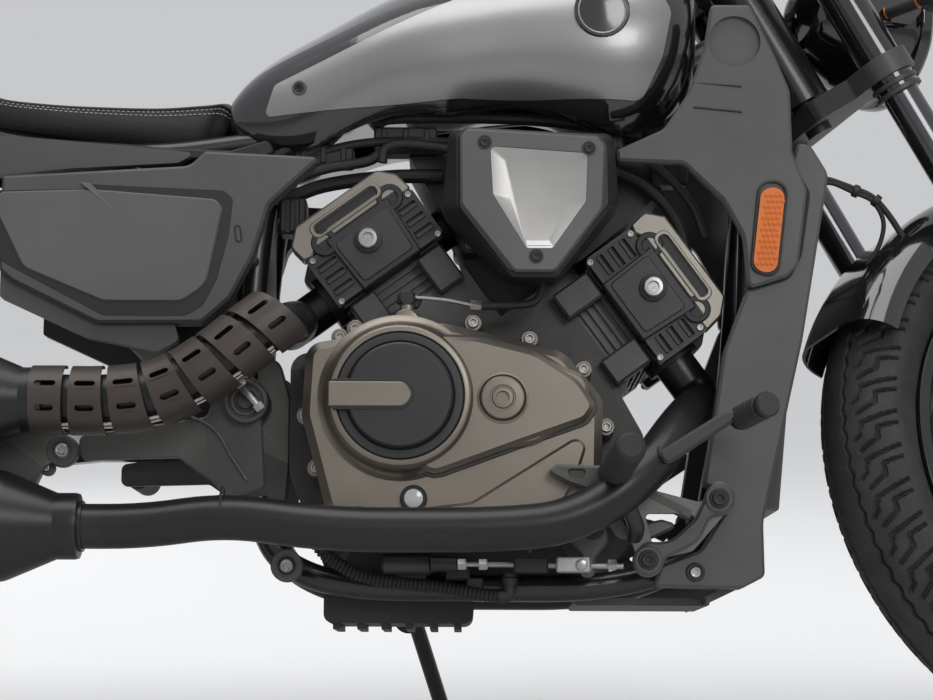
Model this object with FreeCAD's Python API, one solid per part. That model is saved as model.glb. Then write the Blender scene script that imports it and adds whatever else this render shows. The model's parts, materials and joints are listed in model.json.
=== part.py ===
import FreeCAD, Part
import math
import os

# A mid-weight cruiser motorcycle, parked on its side stand with the steering on its left stop.
# Millimetres and degrees. Sizes and places are given with the machine upright and the steering
# straight: x is forward from the rear axle, y is to the left, z is up from the ground.
# The whole machine is then turned by the stance, so that both tyres and the stand's foot
# touch the ground.

# Stance and steering geometry
WHEELBASE = 1545
RAKE = 29.5
TRAIL = 110
LEAN = 9
STEER_LOCK = 30
MODEL_X = 719.5
MODEL_Y = 131.0

# Wheels
FRONT_TYRE_R = 319
FRONT_TYRE_W = 130
FRONT_CROWN_R = 68
FRONT_RIM_R = 236
FRONT_RIM_W = 92
REAR_TYRE_R = 320
REAR_TYRE_W = 180
REAR_CROWN_R = 105
REAR_RIM_R = 213
REAR_RIM_W = 134
TYRE_WALL = 12
RIM_WALL = 7
SPOKE_PAIRS = 5
SPOKE_SPREAD = 16
AXLE_R = 10
AXLE_FIT = 0.08
HUB_R = 34
FRONT_HUB_W = 117
REAR_HUB_W = 188
FRONT_DISC_R = 150
FRONT_DISC_Y = 61
REAR_DISC_R = 125
REAR_DISC_Y = 96.5
DISC_T = 5
DISC_BAND = 34
DISC_GAP = 5

# Fork
LEG_Y = 102.5
LEG_S = 36
STANCHION_R = 20.5
FORK_COVER_R = 25
SLIDER_R = 27
SLIDER_TOP = 560
LOWER_CLAMP = 810
UPPER_CLAMP = 1006
CLAMP_T = 24
CLAMP_WALL = 4.5
STEM_R = 15
HEAD_R = 31
HEAD_GAP = 6

# Frame
SPINE_R = 24
UPRIGHT_R = 15
RAIL_R = 14
SEAT_RAIL_R = 12
BATTERY_HALF_W = 76
PIVOT_X = 627
PIVOT_Z = 367
PIVOT_PLATE_Y = 72
PIVOT_PLATE_T = 18
ARM_Y = 126
ARM_T = 24
ARM_H = 50
PIVOT_PIN_R = 9
SPOOL_HOLE_R = 4.0

# Belt drive
PULLEY_R = 94
PULLEY_T = 26
PULLEY_BORE = 20
BELT_Y = 107
BELT_W = 22
BELT_T = 6
BELT_GAP = 0.6
DRIVE_X = 706
DRIVE_Z = 352
DRIVE_R = 44

# Rear suspension
SHOCK_Y = 142
SPRING_R = 24

# Engine
CRANK_X = 893
CRANK_Z = 377
CASE_HALF_W = 96
DECK_BELOW_BOLT = 81
COVER_LOW = -42
STRIP_LOW = 26
STRIP_TOP = 58
HEAD_HALF_W = 94
HEAD_COVER_Y = 118
BARREL_HALF_W = 84
BARREL_HALF_L = 56
PORT_FACE = 62
PORT_REACH = 12
PORT_Y = -40
PORT_BELOW_BOLT = 18
PORT_RUN = 52
PLENUM_Y = 72
CLUTCH_X = 789.5
CLUTCH_Z = 370
CLUTCH_R = 73.5
CLUTCH_Y = 182
CLUTCH_RING_Y = 205
CLUTCH_CAP_Y = 212
CLUTCH_BASE_Y = 142
GENERATOR_BASE_Y = 128
# Outlines of the right and left covers: x, z, corner radius
CLUTCH_OUTLINE = (
    (690, 428, 20), (686, 352, 40), (712, 256, 25), (736, 219, 12), (955, 219, 16),
    (999, 266, 16), (1001, 372, 24), (960, 421, 30), (832, 452, 60),
)
GENERATOR_OUTLINE = (
    (800, 440, 25), (785, 330, 40), (840, 240, 40), (960, 236, 30),
    (1010, 290, 40), (1000, 400, 40), (940, 446, 30),
)

# Radiator's side panels
SHROUD_INNER_Y = 122

# Side cover's recess: x, z, corner radius
INLAY_OUTLINE = (
    (366, 590, 4), (461, 594, 10), (588, 585, 6), (598, 574, 6), (575, 486, 10),
    (553, 472, 6), (472, 472, 12), (404, 500, 10), (389, 511, 6), (366, 556, 4),
)

# Rear fender, number plate and front guard
FENDER_R = 372
FENDER_T = 4
FENDER_HALF_W = 104
FENDER_CARRIER_X = (20, -50)
FENDER_FRONT = 34
FENDER_BACK = 160
PLATE_X = -394
PLATE_T = 4
PLATE_HOLE_R = 3
PLATE_HOLE_Z = 380
PLATE_HOLE_Y = 60
GUARD_R = 334
GUARD_T = 3
GUARD_HALF_W = 74
GUARD_FRONT = 62
GUARD_REAR = 158

# Tank and seat
TUNNEL_HALF_W = 34
TUNNEL_TOP = 775
PANEL_T = 3.5

# Exhaust
PIPE_R = 23
PIPE_WALL = 2
MUFFLER_R = 57
MUFFLER_Y = 222
MUFFLER_REAR_X = -170
SHIELD_R = 35
SHIELD_T = 2
SHIELD_REAR_X = 415
SHIELD_FRONT_X = 660
SHIELD_EDGE_Y = -200
BAND_X = (446, 604)
BAND_W = 12
# Pipe routes from the end of the port's stub to the silencer's inlet: x, y, z
LOWER_ROUTE = (
    (1084, -150, 348), (1040, -214, 286), (968, -226, 238), (890, -228, 230), (724, -228, 229),
    (612, -226, 244), (530, -222, 232), (440, -222, 232),
)
UPPER_ROUTE = (
    (682, -152, 458), (630, -216, 426), (545, -221, 367), (460, -222, 361), (400, -222, 361),
)

# Side stand
STAND_PIVOT = (795, 142, 163)
STAND_FOOT_X = 835
STAND_FOOT_Y = 205
STAND_FOLDED = (-1.0, 0.10, 0.04)
STAND_LEG_R = 9
STAND_EYE_R = 16
STAND_EYE_T = 12
STAND_PIN_R = 6

# Handlebar: radius, and the left half's points x, y, z
BAR_R = 11
BAR_ROWS = (
    (1146, 0, 948), (1146, 70, 948), (1158, 190, 1004), (1110, 330, 1018), (925, 404, 990),
)

# Cylinders: name, tilt of the axis forward from upright, offset of the head along its own
# width, distance of the cover's bolt from the crank, side of the exhaust port
CYLINDERS = {
    "rear": (-36, -13, 223, -1),
    "front": (54, -1, 205, 1),
}

# Tank sections: x, bottom z, widest z, top z, half width at the bottom, half width at the widest
TANK_ROWS = (
    (598, 672, 694, 726, 80, 92),
    (628, 658, 704, 764, 96, 108),
    (692, 658, 722, 804, 104, 124),
    (752, 682, 738, 838, 110, 138),
    (840, 692, 754, 870, 118, 150),
    (960, 690, 770, 890, 124, 160),
    (1040, 674, 778, 893, 112, 157),
    (1078, 688, 786, 884, 92, 142),
    (1108, 738, 806, 866, 62, 108),
)


def V(x, y, z):
    return FreeCAD.Vector(x, y, z)


X_AXIS = V(1, 0, 0)
Y_AXIS = V(0, 1, 0)
Z_AXIS = V(0, 0, 1)
ZERO = V(0, 0, 0)
# Planes for flat outlines: direction of the first and second coordinate, direction of growth
PLANES = {
    "side": (X_AXIS, Z_AXIS, Y_AXIS),
    "front": (Y_AXIS, Z_AXIS, X_AXIS),
    "top": (X_AXIS, Y_AXIS, Z_AXIS),
}


def outline(rows, plane, level):
    """Closed wire through rows of (u, v, corner radius), with an arc at each rounded corner."""
    u_axis, v_axis, normal = PLANES[plane]
    points = [u_axis * u + v_axis * v + normal * level for u, v, _ in rows]
    corners = []
    for i, (_, _, radius) in enumerate(rows):
        here = points[i]
        back = (points[i - 1] - here).normalize()
        ahead = (points[(i + 1) % len(points)] - here).normalize()
        half = back.getAngle(ahead) / 2
        if radius == 0 or half > math.pi / 2 - 0.01:
            corners.append((here, None, here))
            continue
        run = radius / math.tan(half)
        middle = (back + ahead).normalize()
        centre = here + middle * (radius / math.sin(half))
        corners.append((here + back * run, centre - middle * radius, here + ahead * run))
    edges = []
    for i, (start, middle, end) in enumerate(corners):
        if middle is not None:
            edges.append(Part.Arc(start, middle, end).toShape())
        following = corners[(i + 1) % len(corners)][0]
        if (following - end).Length > 0.001:
            edges.append(Part.LineSegment(end, following).toShape())
    return Part.Wire(edges)


def plate(rows, plane, low, high):
    """Flat piece with the given outline, from one level of its plane's normal to another."""
    normal = PLANES[plane][2]
    return Part.Face(outline(rows, plane, low)).extrude(normal * (high - low))


def loft(wires, ruled=False):
    return Part.makeLoft(wires, True, ruled)


def place(shape, centre, axis):
    """Put a piece made about the Z axis at a centre, with its Z along an axis."""
    shape.Placement = FreeCAD.Placement(centre, FreeCAD.Rotation(Z_AXIS, axis))
    return shape


def turned(rows, centre, axis):
    """Solid of revolution from rows of (radius, distance along the axis, corner radius)."""
    face = Part.Face(outline(rows, "side", 0))
    return place(face.revolve(ZERO, Z_AXIS, 360), centre, axis)


def rod(start, end, radius, bore=0):
    along = end - start
    solid = Part.makeCylinder(radius, along.Length, start, along)
    if bore:
        solid = solid.cut(Part.makeCylinder(bore, along.Length, start, along))
    return solid


def route(points):
    """Wire of straight runs joined by tangent arcs."""
    edges = []
    start = points[0]
    for before, corner, after in zip(points, points[1:], points[2:]):
        back = (before - corner).normalize()
        ahead = (after - corner).normalize()
        half = back.getAngle(ahead) / 2
        run = 0.49 * min((before - corner).Length, (after - corner).Length)
        middle = (back + ahead).normalize()
        centre = corner + middle * (run / math.cos(half))
        radius = run * math.tan(half)
        edges.append(Part.LineSegment(start, corner + back * run).toShape())
        edges.append(Part.Arc(corner + back * run, centre - middle * radius,
                              corner + ahead * run).toShape())
        start = corner + ahead * run
    edges.append(Part.LineSegment(start, points[-1]).toShape())
    return Part.Wire(edges)


def tube(rows, radius, bore=0):
    """Round tube along a route of points, hollow where it has a bore."""
    points = [V(*row) for row in rows]
    if len(points) == 2:
        return rod(points[0], points[1], radius, bore)
    path = route(points)
    ahead = points[1] - points[0]
    section = Part.Face(Part.Wire(Part.makeCircle(radius, points[0], ahead)))
    solid = path.makePipe(section)
    if bore:
        hole = Part.Face(Part.Wire(Part.makeCircle(bore, points[0], ahead)))
        solid = solid.cut(path.makePipe(hole))
    return solid


def join(*shapes):
    return shapes[0].multiFuse(list(shapes[1:]))


def group(*shapes):
    return Part.makeCompound(list(shapes))


def other_side(shape):
    return shape.mirror(ZERO, Y_AXIS)


def both(shape):
    return group(shape, other_side(shape))


def flat_edges(shape, plane, level):
    """Edges of a shape that lie at one level of a plane's normal."""
    normal = PLANES[plane][2]
    return [edge for edge in shape.Edges
            if all(abs(v.Point.dot(normal) - level) < 0.01 for v in edge.Vertexes)]


def bevel(shape, plane, level, size):
    return shape.makeChamfer(size, flat_edges(shape, plane, level))


def spin(shape, centre, axis, angle):
    turned_shape = shape.copy()
    turned_shape.rotate(centre, axis, angle)
    return turned_shape


# Frames of reference: the fork's own frame has s forward, y left and t up along the steering
# axis from where that axis meets the ground; a cylinder's has u along the head and w along the bore.
STEER_FOOT = V(WHEELBASE + TRAIL, 0, 0)
STEER_AXIS = V(-math.sin(math.radians(RAKE)), 0, math.cos(math.radians(RAKE)))
FORK_FRAME = FreeCAD.Placement(STEER_FOOT, FreeCAD.Rotation(Y_AXIS, -RAKE))
AXLE_S = FRONT_TYRE_R * math.sin(math.radians(RAKE)) - TRAIL * math.cos(math.radians(RAKE))
AXLE_T = FRONT_TYRE_R * math.cos(math.radians(RAKE)) + TRAIL * math.sin(math.radians(RAKE))
FRONT_AXLE = V(WHEELBASE, 0, FRONT_TYRE_R)
REAR_AXLE = V(0, 0, REAR_TYRE_R)
STEERED = FreeCAD.Placement(ZERO, FreeCAD.Rotation(STEER_AXIS, STEER_LOCK), STEER_FOOT)


def in_fork(shape):
    """Move a piece made in the fork's own frame to its place on the machine."""
    moved = shape.copy()
    moved.Placement = FORK_FRAME.multiply(moved.Placement)
    return moved


def fork_point(s, y, t):
    return FORK_FRAME.multVec(V(s, y, t))


def cylinder_frame(name):
    tilt, _, _, _ = CYLINDERS[name]
    return FreeCAD.Placement(V(CRANK_X, 0, CRANK_Z), FreeCAD.Rotation(Y_AXIS, tilt))


def in_cylinder(shape, name):
    moved = shape.copy()
    moved.Placement = cylinder_frame(name).multiply(moved.Placement)
    return moved


def lowest(centre, axle, tyre_r, crown_r):
    """Height of the lowest point of a leaning tyre."""
    return centre.z - (tyre_r - crown_r) * math.sqrt(1 - axle.z ** 2) - crown_r


def stance(pitch, lift):
    lean = FreeCAD.Rotation(X_AXIS, -LEAN)
    return FreeCAD.Placement(V(-MODEL_X, -MODEL_Y, lift), lean.multiply(FreeCAD.Rotation(Y_AXIS, pitch)))


def tyre_heights(pose):
    front = pose.multiply(STEERED)
    rear_low = lowest(pose.multVec(REAR_AXLE), pose.Rotation.multVec(Y_AXIS), REAR_TYRE_R, REAR_CROWN_R)
    front_low = lowest(front.multVec(FRONT_AXLE), front.Rotation.multVec(Y_AXIS),
                       FRONT_TYRE_R, FRONT_CROWN_R)
    return rear_low, front_low


def find_stance():
    """Pitch and lift that put both tyres on the ground."""
    pitch = 0.0
    step = 0.5
    for _ in range(4):
        rear, front = tyre_heights(stance(pitch, 0))
        rear_next, front_next = tyre_heights(stance(pitch + step, 0))
        slope = ((front_next - rear_next) - (front - rear)) / step
        pitch -= (front - rear) / slope
    return stance(pitch, -tyre_heights(stance(pitch, 0))[0])


STANCE = find_stance()


# Wheels, made about the Y axis at the origin

def tyre(tyre_r, tyre_w, crown_r, rim_r, rim_w):
    """Ring tyre: an arc for the crown and one for each wall, hollow down to the bead."""
    def ring(crown_top, crown, half_w, bead_r, bead_half):
        centre_r = crown_top - crown
        edge_half = half_w * 0.93
        edge_r = centre_r + math.sqrt(crown ** 2 - edge_half ** 2)
        wall_r = bead_r + (edge_r - bead_r) * 0.55
        low_left = V(bead_r, 0, -bead_half)
        bead_left = V(rim_r + 0.3, 0, -bead_half)
        left = V(edge_r, 0, -edge_half)
        right = V(edge_r, 0, edge_half)
        bead_right = V(rim_r + 0.3, 0, bead_half)
        low_right = V(bead_r, 0, bead_half)
        edges = [
            Part.LineSegment(low_left, bead_left).toShape(),
            Part.Arc(bead_left, V(wall_r, 0, -half_w), left).toShape(),
            Part.Arc(left, V(crown_top, 0, 0), right).toShape(),
            Part.Arc(right, V(wall_r, 0, half_w), bead_right).toShape(),
            Part.LineSegment(bead_right, low_right).toShape(),
            Part.LineSegment(low_right, low_left).toShape(),
        ]
        return Part.Face(Part.Wire(edges)).revolve(ZERO, Z_AXIS, 360)
    bead_r = rim_r - RIM_WALL
    bead_half = rim_w / 2 - RIM_WALL
    outer = ring(tyre_r, crown_r, tyre_w / 2, bead_r, bead_half)
    inner = ring(tyre_r - TYRE_WALL, crown_r - TYRE_WALL, tyre_w / 2 - TYRE_WALL,
                 bead_r - 1, bead_half - TYRE_WALL)
    return place(outer.cut(inner), ZERO, Y_AXIS)


def rim(rim_r, rim_w, hub_w, spoke_in, spoke_out):
    """Cast wheel: barrel with flanges and a drop centre, hub, and pairs of tapered spokes."""
    half = rim_w / 2
    seat_r = rim_r - RIM_WALL
    well_r = seat_r - 20
    rows = (
        (rim_r, -half, 1), (rim_r, -half + RIM_WALL, 1), (seat_r, -half + RIM_WALL, 0),
        (seat_r, -half * 0.55, 4), (well_r, -half * 0.35, 4), (well_r, half * 0.35, 4),
        (seat_r, half * 0.55, 4), (seat_r, half - RIM_WALL, 0), (rim_r, half - RIM_WALL, 1),
        (rim_r, half, 1), (seat_r - RIM_WALL, half, 2), (seat_r - RIM_WALL, half * 0.6, 4),
        (well_r - RIM_WALL, half * 0.4, 4), (well_r - RIM_WALL, -half * 0.4, 4),
        (seat_r - RIM_WALL, -half * 0.6, 4), (seat_r - RIM_WALL, -half, 2),
    )
    barrel = turned(rows, ZERO, Y_AXIS)
    hub = rod(V(0, -hub_w / 2, 0), V(0, hub_w / 2, 0), HUB_R)
    width_in, depth_in = spoke_in
    width_out, depth_out = spoke_out
    root = outline(((-width_in / 2, -depth_in / 2, 5), (width_in / 2, -depth_in / 2, 5),
                    (width_in / 2, depth_in / 2, 5), (-width_in / 2, depth_in / 2, 5)),
                   "top", HUB_R - 6)
    tip = outline(((-width_out / 2, -depth_out / 2, 4), (width_out / 2, -depth_out / 2, 4),
                   (width_out / 2, depth_out / 2, 4), (-width_out / 2, depth_out / 2, 4)),
                  "top", well_r - RIM_WALL / 2)
    spoke = loft([root, tip], True)
    spokes = []
    for i in range(SPOKE_PAIRS):
        for side in (-1, 1):
            angle = i * 360 / SPOKE_PAIRS + side * SPOKE_SPREAD
            spokes.append(spin(spoke, ZERO, Y_AXIS, angle))
    bore = rod(V(0, -hub_w, 0), V(0, hub_w, 0), AXLE_R + AXLE_FIT)
    return join(barrel, hub, *spokes).cut(bore)


def rear_disc_and_pulley():
    return group(rear_disc(), rear_pulley())


def disc(radius, y, hub_y):
    """Brake disc: band with a rim of shallow waves, carried by arms from the hub's face."""
    side = math.copysign(1, y)
    low = y - DISC_T / 2
    band = rod(V(0, low, 0), V(0, low + DISC_T, 0), radius, radius - DISC_BAND)
    carrier = rod(V(0, low, 0), V(0, low + DISC_T, 0), HUB_R + 12, HUB_R - 6)
    arms = []
    for i in range(SPOKE_PAIRS):
        arm = plate(((HUB_R, -9, 0), (radius - DISC_BAND + 4, -7, 0),
                     (radius - DISC_BAND + 4, 7, 0), (HUB_R, 9, 0)), "side", low, low + DISC_T)
        arms.append(spin(arm, ZERO, Y_AXIS, i * 360 / SPOKE_PAIRS + 20))
    inner = min(abs(low), abs(low + DISC_T)) * side
    spacer = rod(V(0, hub_y * side, 0), V(0, inner, 0), HUB_R + 8, HUB_R)
    return join(band, carrier, spacer, *arms)


def moved(shape, centre):
    shape.translate(centre)
    return shape


def front_tyre():
    return moved(tyre(FRONT_TYRE_R, FRONT_TYRE_W, FRONT_CROWN_R, FRONT_RIM_R, FRONT_RIM_W), FRONT_AXLE)


def front_rim():
    return moved(rim(FRONT_RIM_R, FRONT_RIM_W, FRONT_HUB_W, (26, 46), (20, 34)), FRONT_AXLE)


def front_discs():
    right = disc(FRONT_DISC_R, -FRONT_DISC_Y, 40)
    return moved(both(right), FRONT_AXLE)


def rear_tyre():
    return moved(tyre(REAR_TYRE_R, REAR_TYRE_W, REAR_CROWN_R, REAR_RIM_R, REAR_RIM_W), REAR_AXLE)


def rear_rim():
    return moved(rim(REAR_RIM_R, REAR_RIM_W, REAR_HUB_W, (28, 60), (22, 44)), REAR_AXLE)


def rear_disc():
    return moved(disc(REAR_DISC_R, -REAR_DISC_Y, 70), REAR_AXLE)


def rear_pulley():
    low = BELT_Y - PULLEY_T / 2
    high = BELT_Y + PULLEY_T / 2
    wheel = turned(((PULLEY_BORE, low, 0), (PULLEY_R + 4, low, 1), (PULLEY_R + 4, low + 1.5, 0),
                    (PULLEY_R, low + 1.5, 0), (PULLEY_R, high - 1.5, 0), (PULLEY_R + 4, high - 1.5, 0),
                    (PULLEY_R + 4, high, 1), (PULLEY_R - 12, high, 0), (PULLEY_R - 12, low + 10, 4),
                    (HUB_R + 12, low + 10, 4), (HUB_R + 12, high - 4, 0), (PULLEY_BORE, high - 4, 0)),
                   ZERO, Y_AXIS)
    for i in range(SPOKE_PAIRS):
        hole = rod(V(64, low - 5, 0), V(64, high + 5, 0), 13)
        wheel = wheel.cut(spin(hole, ZERO, Y_AXIS, i * 360 / SPOKE_PAIRS))
    return moved(wheel, REAR_AXLE)


def belt_loop(rear_r, front_r, low, high):
    """Closed band outline round the two pulleys, as a solid."""
    gap = math.hypot(DRIVE_X, DRIVE_Z - REAR_TYRE_R)
    slope = math.atan2(DRIVE_Z - REAR_TYRE_R, DRIVE_X)
    swing = math.acos((rear_r - front_r) / gap)

    def at(centre_x, centre_z, radius, angle):
        return V(centre_x + radius * math.cos(angle), low, centre_z + radius * math.sin(angle))
    upper = slope + swing
    lower = slope - swing
    rear = (0, REAR_TYRE_R, rear_r)
    front = (DRIVE_X, DRIVE_Z, front_r)
    edges = [
        Part.LineSegment(at(*front, upper), at(*rear, upper)).toShape(),
        Part.Arc(at(*rear, upper), at(*rear, slope + math.pi), at(*rear, lower)).toShape(),
        Part.LineSegment(at(*rear, lower), at(*front, lower)).toShape(),
        Part.Arc(at(*front, lower), at(*front, slope), at(*front, upper)).toShape(),
    ]
    return Part.Face(Part.Wire(edges)).extrude(V(0, high - low, 0))


def drive_belt():
    low = BELT_Y - BELT_W / 2
    high = BELT_Y + BELT_W / 2
    inner_r = PULLEY_R + BELT_GAP
    outer = belt_loop(inner_r + BELT_T, DRIVE_R + BELT_T, low, high)
    return outer.cut(belt_loop(inner_r, DRIVE_R, low, high))


def drive_pulley():
    """Engine's belt pulley on its shaft."""
    low = BELT_Y - BELT_W / 2
    wheel = rod(V(DRIVE_X, low, DRIVE_Z), V(DRIVE_X, low + BELT_W, DRIVE_Z), DRIVE_R)
    nose = rod(V(DRIVE_X, CASE_HALF_W - 20, DRIVE_Z), V(DRIVE_X, low, DRIVE_Z), 20)
    nut = rod(V(DRIVE_X, low + BELT_W, DRIVE_Z), V(DRIVE_X, low + BELT_W + 10, DRIVE_Z), 18)
    return join(wheel, nose, nut)


# Frame

def frame_spine():
    """Steering head, main tube under the tank, and an upright down to each pivot plate."""
    head_low = LOWER_CLAMP + CLAMP_T + HEAD_GAP
    head_high = UPPER_CLAMP - HEAD_GAP
    head = rod(fork_point(0, 0, head_low), fork_point(0, 0, head_high), HEAD_R)
    spine = tube(((1175, 0, 806), (1060, 0, 742), (820, 0, 722), (650, 0, 690)), SPINE_R)
    gusset = plate(((1190, 790, 0), (1050, 735, 20), (1120, 728, 20), (1202, 700, 0)), "side", -7, 7)
    cross = rod(V(650, -100, 684), V(650, 100, 684), UPRIGHT_R + 2)
    upright = tube(((650, -81, 684), (628, -81, 560), (620, -81, 400)), UPRIGHT_R)
    bore = rod(fork_point(0, 0, head_low - 20), fork_point(0, 0, head_high + 20), STEM_R + AXLE_FIT)
    return join(head, spine, gusset, cross, upright, other_side(upright)).cut(bore)


def frame_rails():
    """Down tube and lower rail of each side, back to the pivot plates, with the stand's lug."""
    rows = ((1192, 24, 742), (1172, 58, 610), (1164, 82, 420), (1126, 98, 222), (1056, 102, 188),
            (980, 112, 176), (760, 112, 176), (700, 112, 184), (650, 86, 212), (634, 81, 272))
    left = tube(rows, RAIL_R)
    return group(join(left, stand_lug()), other_side(left))


def pivot_plates():
    """Plate each side that carries the swinging arm, the uprights and the lower rails."""
    rows = ((600, 420, 12), (655, 424, 12), (668, 380, 6), (668, 310, 6), (664, 256, 12),
            (616, 256, 12), (588, 350, 20))
    one = plate(rows, "side", -PIVOT_PLATE_Y - PIVOT_PLATE_T, -PIVOT_PLATE_Y)
    one = bevel(one, "side", -PIVOT_PLATE_Y - PIVOT_PLATE_T, 2)
    return both(one)


def hanger_plates():
    """Outer hanger each side for the silencers and the passenger's pegs, with its spacers."""
    rows = ((648, 277, 6), (640, 395, 12), (600, 395, 12), (585, 352, 8), (452, 332, 8), (452, 306, 8),
            (556, 309, 8), (590, 285, 8), (606, 268, 8))
    one = plate(rows, "side", -160, -152)
    one = bevel(one, "side", -160, 1.5)
    cap = rod(V(PIVOT_X, -166, PIVOT_Z), V(PIVOT_X, -160, PIVOT_Z), 20)
    arm_side = ARM_Y + ARM_T
    post = rod(V(PIVOT_X, -152, PIVOT_Z), V(PIVOT_X, -arm_side, PIVOT_Z), 16)
    one = join(one, cap, post)
    carrier = plate(((440, 332, 6), (452, 320, 6), (452, 306, 6), (420, 300, 10), (390, 236, 10),
                     (352, 236, 10), (352, 360, 10), (420, 356, 10)), "side", -176, -160)
    return group(join(one, carrier), other_side(one))


def swingarm():
    """Two box arms on the pivot, tied by a cross tube ahead of the tyre, with axle lugs."""
    low, high = -ARM_Y - ARM_T, -ARM_Y
    rows = ((PIVOT_X + 32, PIVOT_Z, 25), (PIVOT_X + 5, PIVOT_Z + 32, 25), (430, 386, 40), (60, 352, 10),
            (-62, 345, 12), (-62, 297, 12), (60, 297, 10), (430, 334, 40), (PIVOT_X + 5, PIVOT_Z - 32, 25))
    arm = bevel(plate(rows, "side", low, high), "side", low, 3)
    arm = arm.cut(rod(V(PIVOT_X, low - 1, PIVOT_Z), V(PIVOT_X, high + 1, PIVOT_Z), PIVOT_PIN_R))
    arm = arm.cut(rod(V(0, low - 1, REAR_TYRE_R), V(0, high + 1, REAR_TYRE_R), AXLE_R))
    tie = rod(V(432, -ARM_Y, 360), V(432, ARM_Y, 360), 22)
    spool = rod(V(-46, low - 12, 321), V(-46, low, 321), 11, 0)
    arm = join(arm, spool).cut(rod(V(-46, low - 13, 321), V(-46, low + 12, 321), SPOOL_HOLE_R))
    return join(arm, other_side(arm), tie)


def rear_axle():
    """Axle with its nuts and the spacers each side of the hub, and the pin of the swinging arm."""
    side = ARM_Y + ARM_T
    pivot = rod(V(PIVOT_X, -side, PIVOT_Z), V(PIVOT_X, side, PIVOT_Z), PIVOT_PIN_R)
    collar = rod(V(PIVOT_X, -ARM_Y, PIVOT_Z), V(PIVOT_X, -ARM_Y + 4, PIVOT_Z), 18)
    pivot = join(pivot, collar, other_side(collar))
    pin = rod(V(0, -side - 14, 0), V(0, side + 14, 0), AXLE_R)
    nut = rod(V(0, side, 0), V(0, side + 12, 0), 17)
    spacer = rod(V(0, REAR_HUB_W / 2 + 0.3, 0), V(0, ARM_Y, 0), 16)
    axle = moved(join(pin, nut, other_side(nut), spacer, other_side(spacer)), REAR_AXLE)
    return group(axle, pivot)


def subframe():
    """Seat rails back to the tail, each with a short stay from the upright."""
    rail = tube(((652, -84, 668), (480, -104, 640), (300, -118, 668), (90, -118, 718), (-60, -112, 722)),
                SEAT_RAIL_R)
    stay = tube(((628, -81, 560), (560, -92, 600), (470, -105, 638)), SEAT_RAIL_R - 3)
    cross = rod(V(330, -118, 662), V(330, 118, 662), SEAT_RAIL_R - 2)
    carriers = []
    for x in FENDER_CARRIER_X:
        z = REAR_TYRE_R + math.sqrt((FENDER_R + FENDER_T) ** 2 - x ** 2) + SEAT_RAIL_R - 2
        carriers.append(rod(V(x, -116, z), V(x, 116, z), SEAT_RAIL_R - 2))
    return join(rail, other_side(rail), stay, other_side(stay), cross, *carriers)


# Rear suspension

def shocks():
    """Spring and damper units with their eyes; the spring is a stack of rings on the body."""
    low = V(150, -SHOCK_Y, 372)
    high = V(288, -SHOCK_Y, 640)
    along = (high - low).normalize()
    length = (high - low).Length
    rows = [(0, 0, 0), (13, 0, 0), (13, 34, 0), (SPRING_R, 36, 0), (SPRING_R, 44, 0)]
    z = 46
    while z < length - 60:
        rows += [(17, z, 0), (17, z + 5, 0), (SPRING_R - 1, z + 7, 2), (SPRING_R - 1, z + 13, 2)]
        z += 16
    rows += [(17, z, 0), (SPRING_R, z + 2, 0), (SPRING_R, z + 12, 0), (16, z + 16, 0), (16, length, 0),
             (0, length, 0)]
    body = turned(rows, low, along)
    eye = rod(low - Y_AXIS * 16, low + Y_AXIS * 16, 15)
    top_eye = rod(high - Y_AXIS * 14, high + Y_AXIS * 14, 16)
    return both(join(body, eye, top_eye))


# Engine

def engine_case():
    """Crankcase with a deck for each cylinder, a lower sump and the bosses of the side covers."""
    rows = ((668, 430, 20), (668, 300, 25), (712, 186, 20), (1000, 182, 30), (1046, 240, 30),
            (1050, 340, 30), (1000, 430, 20))
    body = plate(rows, "side", -CASE_HALF_W, CASE_HALF_W)
    decks = []
    for name, (tilt, offset, bolt, port) in CYLINDERS.items():
        top = bolt - DECK_BELOW_BOLT
        deck = plate(((offset - 74, 0, 0), (offset + 70, 0, 0), (offset + 70, top, 4), (offset - 74, top, 4)),
                     "side", -CASE_HALF_W + 4, CASE_HALF_W - 4)
        decks.append(in_cylinder(deck, name))
    right = plate(CLUTCH_OUTLINE, "side", -CLUTCH_BASE_Y, -CASE_HALF_W)
    left = plate(GENERATOR_OUTLINE, "side", CASE_HALF_W, GENERATOR_BASE_Y)
    return join(body, right, left, drive_pulley(), *decks)


def clutch_cover():
    """Right cover: broad face, raised ring round the clutch cap and a teardrop to its front."""
    cover = plate(CLUTCH_OUTLINE, "side", -CLUTCH_Y, -CLUTCH_BASE_Y)
    cover = bevel(cover, "side", -CLUTCH_Y, 9)
    ring = turned(((0, 0, 0), (CLUTCH_R + 6, 0, 0), (CLUTCH_R, CLUTCH_RING_Y - CLUTCH_Y, 3),
                   (0, CLUTCH_RING_Y - CLUTCH_Y, 0)), V(CLUTCH_X, -CLUTCH_Y, CLUTCH_Z), V(0, -1, 0))
    tear = plate(((838, 430, 8), (930, 416, 30), (986, 392, 16), (984, 352, 16), (930, 322, 40),
                  (838, 306, 8)), "side", -CLUTCH_Y - 10, -CLUTCH_Y)
    tear = bevel(tear, "side", -CLUTCH_Y - 10, 4)
    plug = rod(V(896, -CLUTCH_Y - 14, 369), V(896, -CLUTCH_Y - 10, 369), 24)
    well = rod(V(CLUTCH_X, -CLUTCH_RING_Y - 1, CLUTCH_Z), V(CLUTCH_X, -CLUTCH_RING_Y + 8, CLUTCH_Z),
               CLUTCH_R - 7)
    return join(cover, ring, tear, plug).cut(well)


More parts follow.
